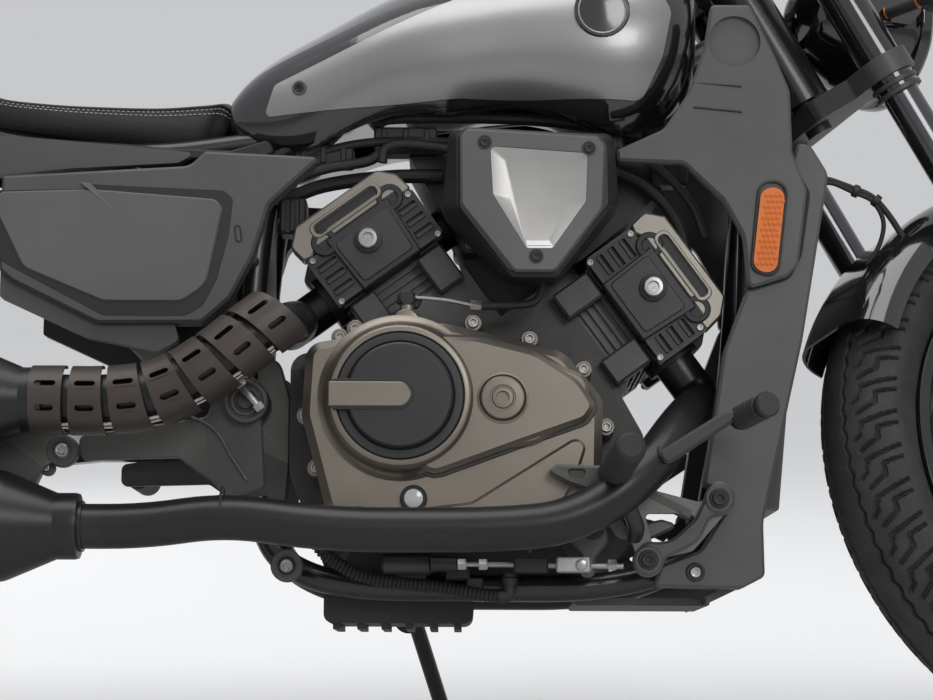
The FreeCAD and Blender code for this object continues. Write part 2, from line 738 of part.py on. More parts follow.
def clutch_cap():
    """Round cap in the ring's well, with a raised middle and a bare bar across it."""
    floor_y = CLUTCH_RING_Y - 8
    rise = CLUTCH_CAP_Y - floor_y
    cap = turned(((0, 0, 0), (CLUTCH_R - 7, 0, 0), (CLUTCH_R - 7, rise - 5, 2), (56, rise - 5, 0),
                  (52, rise, 2), (0, rise, 0)), V(CLUTCH_X, -floor_y, CLUTCH_Z), V(0, -1, 0))
    bar = plate(((CLUTCH_X - 44, CLUTCH_Z - 8, 3), (CLUTCH_X + 44, CLUTCH_Z - 8, 3),
                 (CLUTCH_X + 44, CLUTCH_Z + 8, 3), (CLUTCH_X - 44, CLUTCH_Z + 8, 3)),
                "side", -CLUTCH_CAP_Y - 3, -CLUTCH_CAP_Y)
    return join(cap, bar)


def left_covers():
    """Generator cover with its round drum, and the pulley cover behind it."""
    cover = plate(GENERATOR_OUTLINE, "side", GENERATOR_BASE_Y, GENERATOR_BASE_Y + 26)
    cover = bevel(cover, "side", GENERATOR_BASE_Y + 26, 9)
    drum = turned(((0, 0, 0), (76, 0, 0), (68, 20, 6), (0, 20, 0)),
                  V(CRANK_X + 8, GENERATOR_BASE_Y + 26, 350), Y_AXIS)
    return group(join(cover, drum), pulley_cover())


def pulley_cover():
    """Left cover over the drive pulley, open to the rear where the belt runs out."""
    rows = ((652, 414, 20), (760, 414, 30), (778, 340, 30), (756, 276, 30), (668, 276, 20))
    skin = plate(rows, "side", CASE_HALF_W, 142)
    skin = bevel(skin, "side", 142, 6)
    inner = plate(((640, 408, 0), (756, 408, 26), (772, 340, 26), (750, 282, 26), (640, 282, 0)),
                  "side", 90, 136)
    return skin.cut(inner)


def cylinder(name):
    """Finned barrel, head block with its exhaust stub, and the rounded cam cover on top."""
    tilt, offset, bolt, port = CYLINDERS[name]
    deck = bolt - DECK_BELOW_BOLT
    head_low = bolt + COVER_LOW
    barrel = plate(((offset - BARREL_HALF_L, deck, 0), (offset + BARREL_HALF_L, deck, 0),
                    (offset + BARREL_HALF_L, head_low, 0), (offset - BARREL_HALF_L, head_low, 0)),
                   "side", -BARREL_HALF_W, BARREL_HALF_W)
    fins = []
    for i in range(4):
        low = deck + 5 + i * 9
        fin = plate(((offset - BARREL_HALF_L - 6, -BARREL_HALF_W - 5, 12),
                     (offset + BARREL_HALF_L + 6, -BARREL_HALF_W - 5, 12),
                     (offset + BARREL_HALF_L + 6, BARREL_HALF_W + 5, 12),
                     (offset - BARREL_HALF_L - 6, BARREL_HALF_W + 5, 12)), "top", low, low + 4)
        fins.append(fin)
    head = plate(((offset - 62, head_low, 0), (offset + 62, head_low, 0), (offset + 62, bolt + 20, 0),
                  (offset - 62, bolt + 20, 0)), "side", -HEAD_HALF_W, HEAD_HALF_W)
    cam = plate(((offset - 58, bolt + 20, 0), (offset + 58, bolt + 20, 0), (offset + 56, bolt + 44, 10),
                 (offset + 42, bolt + 54, 10), (offset - 42, bolt + 54, 10), (offset - 56, bolt + 44, 10)),
                "side", -HEAD_HALF_W, HEAD_HALF_W)
    stub_at = V(offset + port * PORT_FACE, PORT_Y, bolt - PORT_BELOW_BOLT)
    stub = rod(stub_at, stub_at + V(port * PORT_REACH, 0, 0), PIPE_R + 8)
    return in_cylinder(join(barrel, head, cam, stub, *fins), name)


def cylinder_covers():
    return group(*[cylinder_cover(name) for name in CYLINDERS])


def cylinder_cover(name):
    """Side covers of one head: a raised middle panel between two blocks with three slots each."""
    tilt, offset, bolt, port = CYLINDERS[name]
    base = -HEAD_HALF_W
    face = -HEAD_COVER_Y
    middle = plate(((offset - 35, bolt + COVER_LOW, 3), (offset + 40, bolt + COVER_LOW, 3),
                    (offset + 44, bolt + STRIP_LOW, 3), (offset - 38, bolt + STRIP_LOW, 3)),
                   "side", face - 4, base)
    middle = bevel(middle, "side", face - 4, 1.5)
    blocks = []
    slots = []
    for start, end in ((-68, -34), (39, 71)):
        block = plate(((offset + start, bolt + COVER_LOW + 2, 4), (offset + end, bolt + COVER_LOW + 2, 4),
                       (offset + end, bolt + STRIP_LOW - 6, 4), (offset + start, bolt + STRIP_LOW - 6, 4)),
                      "side", face, base)
        blocks.append(block)
        for i in range(3):
            w = bolt + COVER_LOW + 15 + i * 15
            slots.append(plate(((offset + start + 5, w, 0), (offset + end - 5, w, 0),
                                (offset + end - 5, w + 5, 0), (offset + start + 5, w + 5, 0)),
                               "side", face - 1, face + 6))
    washer = rod(V(offset, face - 6, bolt), V(offset, face - 4, bolt), 12)
    head = rod(V(offset, face - 12, bolt), V(offset, face - 6, bolt), 9)
    one = join(middle, *blocks).cut(group(*slots))
    one = join(one, washer, head)
    return in_cylinder(both(one), name)


def head_strips():
    """Top strip on each side of each head, turned down at both ends, with a long slot recess."""
    strips = []
    for name, (tilt, offset, bolt, port) in CYLINDERS.items():
        rows = ((offset - 70, bolt + 22, 3), (offset - 73, bolt + 42, 8), (offset - 56, bolt + STRIP_TOP, 6),
                (offset + 52, bolt + STRIP_TOP, 6), (offset + 67, bolt + 42, 8), (offset + 71, bolt + 20, 3),
                (offset + 60, bolt + 20, 3), (offset + 53, bolt + STRIP_LOW, 3),
                (offset - 50, bolt + STRIP_LOW, 3), (offset - 60, bolt + 20, 3))
        strip = plate(rows, "side", -HEAD_COVER_Y - 2, -HEAD_HALF_W)
        strip = bevel(strip, "side", -HEAD_COVER_Y - 2, 2)
        middle_w = bolt + (STRIP_LOW + STRIP_TOP) / 2
        slot = plate(((offset - 42, middle_w - 6, 5.9), (offset + 40, middle_w - 6, 5.9),
                      (offset + 40, middle_w + 6, 5.9), (offset - 42, middle_w + 6, 5.9)),
                     "side", -HEAD_COVER_Y - 3, -HEAD_COVER_Y + 1)
        strips.append(in_cylinder(both(strip.cut(slot)), name))
    return group(*strips)


def plenum():
    """Plenum and throttle body that fill the space between the cylinders."""
    return plate(((786, 668, 10), (804, 634, 10), (844, 570, 6), (856, 536, 6), (895, 466, 0), (952, 522, 6),
                  (984, 538, 6), (1036, 580, 10), (1072, 616, 10), (1080, 664, 10)),
                 "side", -PLENUM_Y, PLENUM_Y)


def intake_runner(name):
    """Stub from the plenum to the port on the inner face of a head."""
    tilt, offset, bolt, port = CYLINDERS[name]
    w = bolt - PORT_BELOW_BOLT
    return in_cylinder(rod(V(offset - port * PORT_FACE, 0, w), V(offset - port * (PORT_FACE + 62), 0, w),
                           PIPE_R), name)


def air_cleaner():
    """Air cleaner on the right of the V: base, tapered cover with a recessed face, inlet neck."""
    base_rows = ((838, 661, 12), (1014, 657, 12), (1019, 580, 15), (953, 499, 12), (900, 502, 12),
                 (832, 572, 15))
    face_rows = ((850, 651, 10), (1004, 640, 10), (1005, 571, 12), (947, 499, 8), (902, 501, 8),
                 (851, 567, 10))
    recess_rows = ((883, 631, 5), (984, 625, 5), (985, 580, 8), (950, 527, 5), (917, 527, 5), (884, 580, 8))
    base = plate(base_rows, "side", -168, -126)
    cover = loft([outline(base_rows, "side", -168), outline(face_rows, "side", -212)], True)
    recess = plate(recess_rows, "side", -213, -206)
    neck = rod(V(930, -126, 606), V(930, -PLENUM_Y, 606), 34)
    return join(base, cover, neck, plenum(), *[intake_runner(name) for name in CYLINDERS]).cut(recess)


def engine_box():
    """Finned box under the engine, between the lower rails."""
    box = plate(((706, 196, 0), (706, 140, 10), (866, 140, 10), (870, 196, 0)), "side", -78, 40)
    ribs = []
    for i in range(6):
        x = 716 + i * 26
        ribs.append(plate(((x, 134, 0), (x + 8, 134, 0), (x + 8, 144, 0), (x, 144, 0)), "side", -74, 36))
    return join(box, *ribs)


def battery_box():
    """Closed box between the uprights, ahead of the rear tyre."""
    rows = ((638, 636, 8), (638, 452, 10), (600, 428, 12), (486, 436, 20), (462, 520, 20), (452, 636, 10))
    box = plate(rows, "side", -BATTERY_HALF_W, BATTERY_HALF_W)
    return bevel(box, "side", -BATTERY_HALF_W, 4)


# Cooling

def radiator():
    core = plate(((1168, 262, 4), (1190, 258, 4), (1222, 600, 4), (1200, 604, 4)), "side", -122, 122)
    tank = plate(((1190, 568, 6), (1224, 572, 6), (1228, 622, 8), (1194, 622, 8)), "side", -118, 118)
    bosses = []
    for x, y, z in ((1174, 62, 590), (1166, 84, 400)):
        for side in (-1, 1):
            bosses.append(rod(V(x - 4, side * y, z), V(x + 32, side * y, z), 7))
    return join(core, tank, *bosses)


def radiator_shrouds():
    """Side panels of the radiator, from under the steering head down to the skid."""
    rows = ((1212, 652, 6), (1226, 650, 12), (1245, 618, 20), (1214, 437, 60), (1170, 246, 60),
            (1171, 188, 8), (1146, 175, 8), (1054, 177, 6), (1062, 199, 6), (1104, 215, 12), (1141, 272, 14),
            (1108, 284, 4), (1131, 426, 60), (1156, 491, 8), (1199, 505, 14), (1212, 530, 20),
            (1222, 596, 14), (1205, 628, 14))
    one = plate(rows, "side", -152, -SHROUD_INNER_Y)
    one = bevel(one, "side", -152, 3)
    return group(join(one, other_side(one), skid_plate()))


def reflectors():
    rows = ((1198, 606, 12), (1171, 597, 12), (1161, 513, 12), (1186, 505, 12))
    return both(plate(rows, "side", -162, -158))


def head_covers():
    """Side covers by the steering head, with a round recess for the lock's side."""
    rows = ((1018, 642, 4), (1068, 665, 20), (1094, 704, 20), (1112, 754, 20), (1120, 803, 6),
            (1162, 803, 6), (1190, 743, 20), (1204, 708, 20), (1206, 640, 14), (1221, 598, 16),
            (1210, 518, 10), (1198, 505, 10), (1157, 492, 6), (1152, 550, 30), (1131, 588, 20),
            (1089, 628, 12), (1018, 630, 4))
    one = plate(rows, "side", -158, -144)
    one = bevel(one, "side", -158, 3)
    recess = rod(V(1145, -159, 762), V(1145, -152, 762), 28)
    return both(one.cut(recess))


def skid_plate():
    """Plate between the lower rails, with a wide upturned front between the side panels."""
    flat = plate(((975, 168, 3), (975, 160, 3), (1120, 160, 3), (1120, 168, 3)), "side", -80, 80)
    front = plate(((1112, 168, 0), (1112, 160, 0), (1168, 187, 3), (1164, 196, 3)), "side",
                  -SHROUD_INNER_Y, SHROUD_INNER_Y)
    return join(flat, front)


# Tank and seat

def tank_wires(grow, rows=TANK_ROWS):
    """Section wires of the tank, each a flat bottom with an arc up each side and one over the top."""
    wires = []
    for x, z_low, z_side, z_top, half_low, half_side in rows:
        low = V(x, half_low + grow, z_low)
        shoulder = V(x, half_side * 0.80 + grow, z_side + (z_top - z_side) * 0.62 + grow * 0.5)
        side = V(x, half_side + grow, z_side)
        top = V(x, 0, z_top + grow)
        across = Part.LineSegment(V(x, -low.y, low.z), low).toShape()
        left = Part.Arc(low, side, shoulder).toShape()
        over = Part.Arc(shoulder, top, V(x, -shoulder.y, shoulder.z)).toShape()
        right = Part.Arc(V(x, -shoulder.y, shoulder.z), V(x, -side.y, side.z),
                         V(x, -low.y, low.z)).toShape()
        wires.append(Part.Wire([across, left, over, right]))
    return wires


def fuel_tank():
    body = loft(tank_wires(0))
    tunnel = plate(((-TUNNEL_HALF_W, 600, 0), (TUNNEL_HALF_W, 600, 0), (TUNNEL_HALF_W, TUNNEL_TOP, 20),
                    (-TUNNEL_HALF_W, TUNNEL_TOP, 20)), "front", 560, 1160)
    neck = rod(V(960, 0, 880), V(960, 0, 891), 34)
    return join(body.cut(tunnel), neck)


def tank_panels():
    """Metal panel laid over each side of the tank."""
    rows = ((636, 686, 6), (647, 723, 10), (866, 824, 30), (1064, 828, 14), (1079, 800, 20),
            (1068, 746, 40), (1046, 700, 16), (850, 704, 60))
    side = plate(rows, "side", -200, -60)
    one = loft(tank_wires(PANEL_T)).common(side).cut(loft(tank_wires(0)))
    return both(one)


def fuel_cap():
    return turned(((0, 0, 0), (30, 0, 0), (30, 8, 3), (22, 12, 3), (0, 12, 0)), V(960, 0, 891), Z_AXIS)


def seat_rider():
    side = plate(((606, 708, 12), (590, 657, 8), (300, 672, 8), (262, 700, 12), (262, 762, 20),
                  (292, 752, 20), (352, 710, 60), (440, 702, 60), (500, 698, 60)), "side", -150, 150)
    plan = plate(((606, -84, 20), (560, -96, 60), (420, -146, 60), (262, -138, 30), (262, 138, 30),
                  (420, 146, 60), (560, 96, 60), (606, 84, 20)), "top", 600, 800)
    return side.common(plan)


def seat_pillion():
    side = plate(((261.7, 690, 8), (261.7, 778, 20), (120, 806, 60), (-40, 812, 20), (-62, 780, 14),
                  (-50, 728, 8), (90, 726, 8), (200, 700, 8)), "side", -130, 130)
    plan = plate(((261.7, -124, 30), (60, -116, 60), (-62, -82, 30), (-62, 82, 30), (60, 116, 60),
                  (261.7, 124, 30)), "top", 680, 840)
    return side.common(plan)


def seat_trim():
    """Trim strip below the right side of the seat."""
    rows = ((314, 664, 4), (485, 650, 10), (566, 642, 3), (546, 631, 6), (427, 624, 20), (314, 612, 4))
    return plate(rows, "side", -134, -121)


def side_covers():
    """Side panels under the seat: main face, lower steps set back, recessed inlay, seat trim."""
    main = ((360, 612, 4), (560, 624, 20), (577, 640, 4), (704, 634, 4), (692, 626, 10), (646, 583, 20),
            (629, 525, 20), (606, 480, 16), (577, 454, 12), (466, 453, 16), (374, 498, 16), (360, 510, 4))
    step = ((360, 482, 4), (454, 439, 10), (529, 424, 10), (552, 436, 6), (546, 458, 4), (360, 520, 4))
    one = bevel(plate(main, "side", -152, -122), "side", -152, 3)
    low = plate(step, "side", -142, -124)
    recess = plate(INLAY_OUTLINE, "side", -153, -148)
    bosses = [rod(V(x, -124, z), V(x, y, z), 8) for x, y, z in ((560, -92, 600), (624, -81, 530))]
    return both(join(one, low, seat_trim(), *bosses).cut(recess))


# Rear end

def rear_fender():
    outer = FENDER_R + FENDER_T
    half = FENDER_HALF_W
    inner = half - FENDER_T
    rows = ((332, -half, 0), (outer, -half, 24), (outer, half, 24), (332, half, 0), (332, inner, 0),
            (FENDER_R, inner, 20), (FENDER_R, -inner, 20), (332, -inner, 0))
    face = Part.Face(outline(rows, "side", 0))
    ring = place(face.revolve(ZERO, Z_AXIS, FENDER_BACK - FENDER_FRONT), ZERO, Y_AXIS)
    ring.rotate(ZERO, Y_AXIS, -FENDER_BACK)
    return moved(ring, REAR_AXLE)


def on_fender(shape, angle):
    """Turn a piece made on top of the rear fender round to an angle back from upright."""
    return spin(shape, REAR_AXLE, Y_AXIS, -angle)


def tail_lamp():
    top = REAR_TYRE_R + FENDER_R + FENDER_T
    rows = ((-46, top - 4, 0), (-30, top + 34, 12), (26, top + 30, 12), (40, top - 4, 0))
    lamp = plate(rows, "side", -52, 52)
    return on_fender(lamp, 52)


def rear_lamps():
    return group(tail_lamp(), indicators_rear())


def plate_holder():
    """Arm from the fender's end with a blank number plate and its backing."""
    arm = plate(((-346, 462, 8), (-368, 476, 8), (-392, 440, 8), (-386, 300, 0), (-378, 300, 0),
                 (-376, 420, 8)), "side", -30, 30)
    board = plate(((-88, 262, 10), (88, 262, 10), (88, 420, 10), (-88, 420, 10)), "front",
                  PLATE_X, PLATE_X + PLATE_T)
    holes = group(*[rod(V(PLATE_X - 20, y, PLATE_HOLE_Z), V(PLATE_X + 20, y, PLATE_HOLE_Z), PLATE_HOLE_R)
                    for y in (-PLATE_HOLE_Y, PLATE_HOLE_Y)])
    return join(arm, board).cut(holes)


def indicators_rear():
    stalk = rod(V(-300, -60, 560), V(-310, -140, 566), 8)
    lamp = turned(((0, 0, 0), (20, 4, 3), (24, 26, 4), (20, 40, 4), (0, 44, 0)), V(-288, -152, 566),
                  V(-1, 0, 0))
    return both(join(stalk, lamp))


def rear_caliper():
    """Caliper over the rear disc, on a bracket from the right arm."""
    low = -REAR_DISC_Y - 20
    inner = -(REAR_DISC_Y - DISC_T / 2 - DISC_GAP)
    block = plate(((60, 378, 8), (60, 470, 12), (112, 470, 12), (140, 420, 12), (140, 384, 8)),
                  "side", low, inner + 16)
    slot_low = -REAR_DISC_Y - DISC_T / 2 - DISC_GAP
    groove = Part.makeCylinder(REAR_DISC_R + DISC_GAP, inner - slot_low, V(0, slot_low, REAR_TYRE_R), Y_AXIS)
    mount = plate(((64, 340, 4), (64, 400, 4), (120, 400, 4), (120, 340, 4)), "side", -ARM_Y, low)
    return join(block.cut(groove), mount)


# Exhaust pipes and silencers

def pipe_rows(name, rows):
    """A pipe's route: from the end of its cylinder's stub straight out, then by the given corners."""
    tilt, offset, bolt, port = CYLINDERS[name]
    points = [V(offset + port * (PORT_FACE + PORT_REACH + run), PORT_Y, bolt - PORT_BELOW_BOLT)
              for run in (0, PORT_RUN)]
    return [tuple(cylinder_frame(name).multVec(point)) for point in points] + list(rows)


def exhaust_pipes():
    """Pipe from each head's port round to the right and back to its silencer."""
    lower = tube(pipe_rows("front", LOWER_ROUTE), PIPE_R, PIPE_R - PIPE_WALL)
    upper = tube(pipe_rows("rear", UPPER_ROUTE), PIPE_R, PIPE_R - PIPE_WALL)
    return group(lower, upper)


def heat_shield():
    """Shell round the outside of the upper pipe, on two bands that clamp the pipe."""
    shell = tube(UPPER_ROUTE, SHIELD_R, SHIELD_R - SHIELD_T)
    outside = Part.makeBox(SHIELD_FRONT_X - SHIELD_REAR_X, 200, 300,
                           V(SHIELD_REAR_X, SHIELD_EDGE_Y - 200, 300))
    clamps = tube(UPPER_ROUTE, SHIELD_R - SHIELD_T / 2, PIPE_R)
    slabs = [Part.makeBox(BAND_W, 400, 300, V(x, -400, 300)) for x in BAND_X]
    return join(shell.common(outside), *[clamps.common(slab) for slab in slabs])


def muffler(z, front_x, taper_x):
    rows = (
        (0, 0, 0), (PIPE_R + 3, 0, 0), (PIPE_R + 3, 8, 0), (MUFFLER_R, front_x - taper_x, 30),
        (MUFFLER_R, front_x - MUFFLER_REAR_X - 40, 10), (MUFFLER_R - 10, front_x - MUFFLER_REAR_X, 3),
        (0, front_x - MUFFLER_REAR_X, 0),
    )
    body = turned(rows, V(front_x, -MUFFLER_Y, z), V(-1, 0, 0))
    outlet = rod(V(MUFFLER_REAR_X - 1, -MUFFLER_Y, z), V(MUFFLER_REAR_X + 60, -MUFFLER_Y, z), 24)
    inlet = rod(V(front_x + 1, -MUFFLER_Y, z), V(front_x - 30, -MUFFLER_Y, z), PIPE_R)
    return body.cut(group(outlet, inlet))


def mufflers():
    lower = muffler(232, 469, 388)
    upper = muffler(361, 430, 350)
    return group(lower, upper)


# Controls on the chassis

def foot_brackets():
    """Open triangular bracket each side for the forward pegs and foot levers, on two spacers."""
    rows = ((1120, 272, 8), (1140, 266, 8), (1094, 213, 8), (1047, 202, 8), (1034, 212, 6), (1018, 262, 8),
            (1046, 278, 10), (1100, 264, 6))
    hole = ((1092, 252, 5), (1100, 244, 5), (1072, 222, 5), (1052, 220, 5), (1044, 252, 5))
    one = plate(rows, "side", -172, -160).cut(plate(hole, "side", -173, -159))
    spacers = [rod(V(x, -160, z), V(x, -100, z), 9) for x, z in ((1124, 266), (1050, 207))]
    return both(join(one, *spacers))


def foot_pegs():
    """Rider's pegs on the forward brackets and the passenger's on the hangers."""
    arm = tube(((1034, -168, 226), (1034, -262, 240), (1000, -290, 272)), 8)
    rows = ((970, 262, 9), (1016, 262, 9), (1018, 284, 9), (968, 284, 9))
    peg = join(bevel(plate(rows, "side", -336, -252), "side", -336, 2), arm)
    return group(peg, other_side(peg), passenger_peg())


def foot_levers():
    """Brake pedal on the right and gear lever on the left, each on the bracket's face."""
    arm = tube(((1060, -180, 214), (1100, -186, 285), (1126, -190, 337)), 8)
    boss = rod(V(1060, -172, 212), V(1060, -190, 212), 14)
    pad = rod(V(1126, -184, 338), V(1142, -300, 346), 9)
    lever = join(arm, boss, pad)
    return group(join(lever, rear_brake_line()), other_side(lever))


def passenger_peg():
    peg = turned(((0, 0, 0), (9, 0, 0), (9, 12, 0), (16, 14, 4), (16, 100, 5), (0, 100, 0)),
                 V(470, -160, 320), V(0, -1, 0))
    return other_side(peg)


def rear_brake_line():
    cylinder_body = rod(V(770, -150, 199), V(832, -150, 199), 11)
    push = rod(V(832, -150, 199), V(1046, -176, 203), 4)
    return join(cylinder_body, push)


def stand_lug():
    """Lug with the stand's pin and its head."""
    pivot, axis, _, _ = stand_frame()
    lug = rod(pivot - axis * (STAND_EYE_T / 2 + 24), pivot - axis * (STAND_EYE_T / 2 + 0.3), STAND_EYE_R)
    pin = rod(pivot - axis * (STAND_EYE_T / 2 + 10.3), pivot + axis * (STAND_EYE_T / 2 + 3), STAND_PIN_R)
    head = rod(pivot + axis * (STAND_EYE_T / 2 + 0.3), pivot + axis * (STAND_EYE_T / 2 + 6), STAND_PIN_R + 5)
    return join(lug, pin, head)


def stand_frame():
    """Pivot, axis, direction down to the foot, and leg length of the side stand."""
    pivot = V(*STAND_PIVOT)
    foot = STANCE.inverse().multVec(V(STAND_FOOT_X - MODEL_X, STAND_FOOT_Y - MODEL_Y, 5))
    down = foot - pivot
    length = down.Length
    down.normalize()
    folded = V(*STAND_FOLDED)
    axis = down.cross(folded)
    axis.normalize()
    return pivot, axis, down, length


def side_stand():
    """Leg with an eye on the pin and a flat foot on the ground."""
    pivot, axis, down, length = stand_frame()
    eye = rod(pivot - axis * STAND_EYE_T / 2, pivot + axis * STAND_EYE_T / 2, STAND_EYE_R)
    leg = rod(pivot + down * (STAND_EYE_R + 2), pivot + down * length, STAND_LEG_R)
    neck = rod(pivot, pivot + down * (STAND_EYE_R + 10), STAND_EYE_T / 2)
    foot = Part.makeCylinder(24, 5, V(STAND_FOOT_X - MODEL_X, STAND_FOOT_Y - MODEL_Y, 0), Z_AXIS)
    foot.Placement = STANCE.inverse().multiply(foot.Placement)
    trim = Part.makeBox(400, 400, 100, V(STAND_FOOT_X - MODEL_X - 200, STAND_FOOT_Y - MODEL_Y - 200, -100))
    trim.Placement = STANCE.inverse().multiply(trim.Placement)
    hole = rod(pivot - axis * STAND_EYE_T, pivot + axis * STAND_EYE_T, STAND_PIN_R + AXLE_FIT)
    return join(eye, neck, leg, foot).cut(trim).cut(hole)


# Front end

def clamp_rows(leg_r):
    reach = LEG_Y + leg_r
    return ((LEG_S + leg_r + 2, -reach, leg_r), (LEG_S + leg_r + 2, reach, leg_r),
            (LEG_S - leg_r, reach, leg_r), (LEG_S - leg_r, 70, 8), (-28, 40, 20), (-28, -40, 20),
            (LEG_S - leg_r, -70, 8), (LEG_S - leg_r, -reach, leg_r))


def fork_clamps():
    """Upper and lower clamps on the steering stem."""
    leg_r = FORK_COVER_R + CLAMP_WALL
    lower = plate(clamp_rows(leg_r), "top", LOWER_CLAMP, LOWER_CLAMP + CLAMP_T)
    upper = plate(clamp_rows(leg_r), "top", UPPER_CLAMP, UPPER_CLAMP + CLAMP_T)
    stem = rod(V(0, 0, LOWER_CLAMP - 8), V(0, 0, UPPER_CLAMP + CLAMP_T + 12), STEM_R)
    nut = rod(V(0, 0, UPPER_CLAMP + CLAMP_T), V(0, 0, UPPER_CLAMP + CLAMP_T + 10), STEM_R + 8)
    holes = group(*[rod(V(LEG_S, y, LOWER_CLAMP - 10), V(LEG_S, y, UPPER_CLAMP + 60), FORK_COVER_R)
                    for y in (-LEG_Y, LEG_Y)])
    return in_fork(join(lower, upper, stem, nut).cut(holes))


def fork_legs():
    """Cover tube, stanchion and slider of each leg, with the slider's axle lug."""
    rows = (
        (0, AXLE_T - 30, 0), (SLIDER_R - 4, AXLE_T - 30, 4), (SLIDER_R, AXLE_T + 20, 0),
        (SLIDER_R, SLIDER_TOP - 14, 0), (SLIDER_R + 2, SLIDER_TOP - 12, 0), (SLIDER_R + 2, SLIDER_TOP, 2),
        (STANCHION_R, SLIDER_TOP, 0), (STANCHION_R, LOWER_CLAMP - 22, 0), (FORK_COVER_R, LOWER_CLAMP - 22, 2),
        (FORK_COVER_R, UPPER_CLAMP + CLAMP_T + 6, 3), (0, UPPER_CLAMP + CLAMP_T + 6, 0),
    )
    leg = turned(rows, V(LEG_S, -LEG_Y, 0), Z_AXIS)
    lug = rod(V(AXLE_S, -LEG_Y - 24, AXLE_T), V(AXLE_S, -LEG_Y + 24, AXLE_T), 24)
    web = plate(((LEG_S - 10, AXLE_T - 20, 4), (AXLE_S + 14, AXLE_T - 20, 4), (AXLE_S + 10, AXLE_T + 60, 10),
                 (LEG_S, AXLE_T + 110, 10)), "side", -LEG_Y - 9, -LEG_Y + 9)
    hole = rod(V(AXLE_S, -200, AXLE_T), V(AXLE_S, 200, AXLE_T), AXLE_R)
    return in_fork(both(join(leg, lug, web).cut(hole)))


def front_axle():
    pin = rod(V(0, -LEG_Y - 30, 0), V(0, LEG_Y + 30, 0), AXLE_R)
    head = rod(V(0, LEG_Y + 24, 0), V(0, LEG_Y + 34, 0), 16)
    spacer = rod(V(0, FRONT_HUB_W / 2 + 0.3, 0), V(0, LEG_Y - 24, 0), 15)
    return moved(join(pin, head, other_side(head), spacer, other_side(spacer)), FRONT_AXLE)


def front_calipers():
    """Calipers behind the legs, astride the discs."""
    inner = FRONT_DISC_Y - DISC_T / 2 - DISC_GAP
    outer = FRONT_DISC_Y + DISC_T / 2 + DISC_GAP
    block = plate(((104, -46, 12), (166, -46, 14), (166, 46, 14), (104, 46, 12)), "side", -outer - 22,
                  -inner + 14)
    slot = Part.makeCylinder(FRONT_DISC_R + DISC_GAP, outer - inner, V(0, -outer, 0), Y_AXIS)
    caliper = block.cut(slot)
    caliper.rotate(ZERO, Y_AXIS, -155)
    return both(moved(caliper, FRONT_AXLE))


def front_fender():
    """Front guard: a rolled ring section over the tyre, on two stays each side."""
    outer = GUARD_R + GUARD_T
    half = GUARD_HALF_W
    inner = half - GUARD_T
    rows = ((292, -half, 0), (outer, -half, 40), (outer, half, 40), (292, half, 0), (292, inner, 0),
            (GUARD_R, inner, 37), (GUARD_R, -inner, 37), (292, -inner, 0))
    face = Part.Face(outline(rows, "side", 0))
    ring = place(face.revolve(ZERO, Z_AXIS, GUARD_REAR - GUARD_FRONT), ZERO, Y_AXIS)
    ring.rotate(ZERO, Y_AXIS, -GUARD_REAR)
    ring = moved(ring, FRONT_AXLE)
    stay_rows = ((WHEELBASE - 190, 545, 6), (WHEELBASE - 60, 612, 6), (WHEELBASE - 70, 560, 10),
                 (WHEELBASE - 100, 500, 10), (WHEELBASE - 150, 500, 10))
    stay = plate(stay_rows, "side", -half - 4, -half)
    return join(ring, stay, other_side(stay))


def headlight():
    """Lamp shell with a rolled rim, held by an ear from each leg cover."""
    shell = turned(((0, 0, 0), (40, 4, 20), (78, 60, 40), (88, 110, 10), (92, 112, 2), (92, 124, 3),
                    (84, 126, 2), (84, 116, 0), (0, 116, 0)), V(1246, 0, 850), V(1, 0, 0.02))
    ear = plate(((1236, 800, 6), (1334, 806, 12), (1354, 828, 12), (1352, 862, 12), (1300, 872, 16),
                 (1226, 858, 6), (1220, 830, 6)), "side", -92, -84)
    return join(shell, ear, other_side(ear))


def headlight_lens():
    return turned(((0, 116, 0), (84, 116, 0), (84, 122, 0), (60, 130, 40), (0, 134, 0)),
                  V(1246, 0, 850), V(1, 0, 0.02))


def handlebar():
    """Bent bar on two risers from the upper clamp."""
    right = tube([(x, -y, z) for x, y, z in BAR_ROWS], BAR_R)
    risers = []
    for y in (-45, 45):
        foot = fork_point(24, y, UPPER_CLAMP + CLAMP_T)
        risers.append(rod(foot, V(1146, y, 948), 15))
        risers.append(rod(V(1146, y - 14, 948), V(1146, y + 14, 948), 20))
    return join(right, other_side(right), *risers)


def grips():
    end = V(*BAR_ROWS[-1])
    inner = V(*BAR_ROWS[-2])
    along = (end - inner).normalize()
    start = end - along * 118
    grip = rod(start, end, 16, BAR_R)
    cap = rod(end, end + along * 10, 14)
    return both(join(grip, cap))


def bar_controls():
    """Switch housings, lever perches and levers on both ends of the bar."""
    end = V(*BAR_ROWS[-1])
    inner = V(*BAR_ROWS[-2])
    along = (end - inner).normalize()
    start = end - along * 122
    house = rod(start - along * 36, start, 22, BAR_R)
    perch = rod(start - along * 62, start - along * 40, 18, BAR_R)
    out = along.cross(Z_AXIS).normalize()
    root = start - along * 50
    arm = rod(root + out * (BAR_R + 2), root + out * 34, 8)
    bends = (root + out * 32, root + out * 54 + along * 60, root + out * 46 + along * 170)
    lever = tube([tuple(bend) for bend in bends], 6)
    return both(join(house, perch, arm, lever))


def mirrors():
    base = V(1050, 346, 1016)
    stalk = tube((tuple(base), (1056, 352, 1060), (1072, 372, 1092)), 6)
    head = plate(((300, 1062, 22), (440, 1068, 22), (446, 1118, 26), (310, 1128, 26)), "front", 1066, 1086)
    head = bevel(head, "front", 1086, 6)
    return both(join(stalk, head))


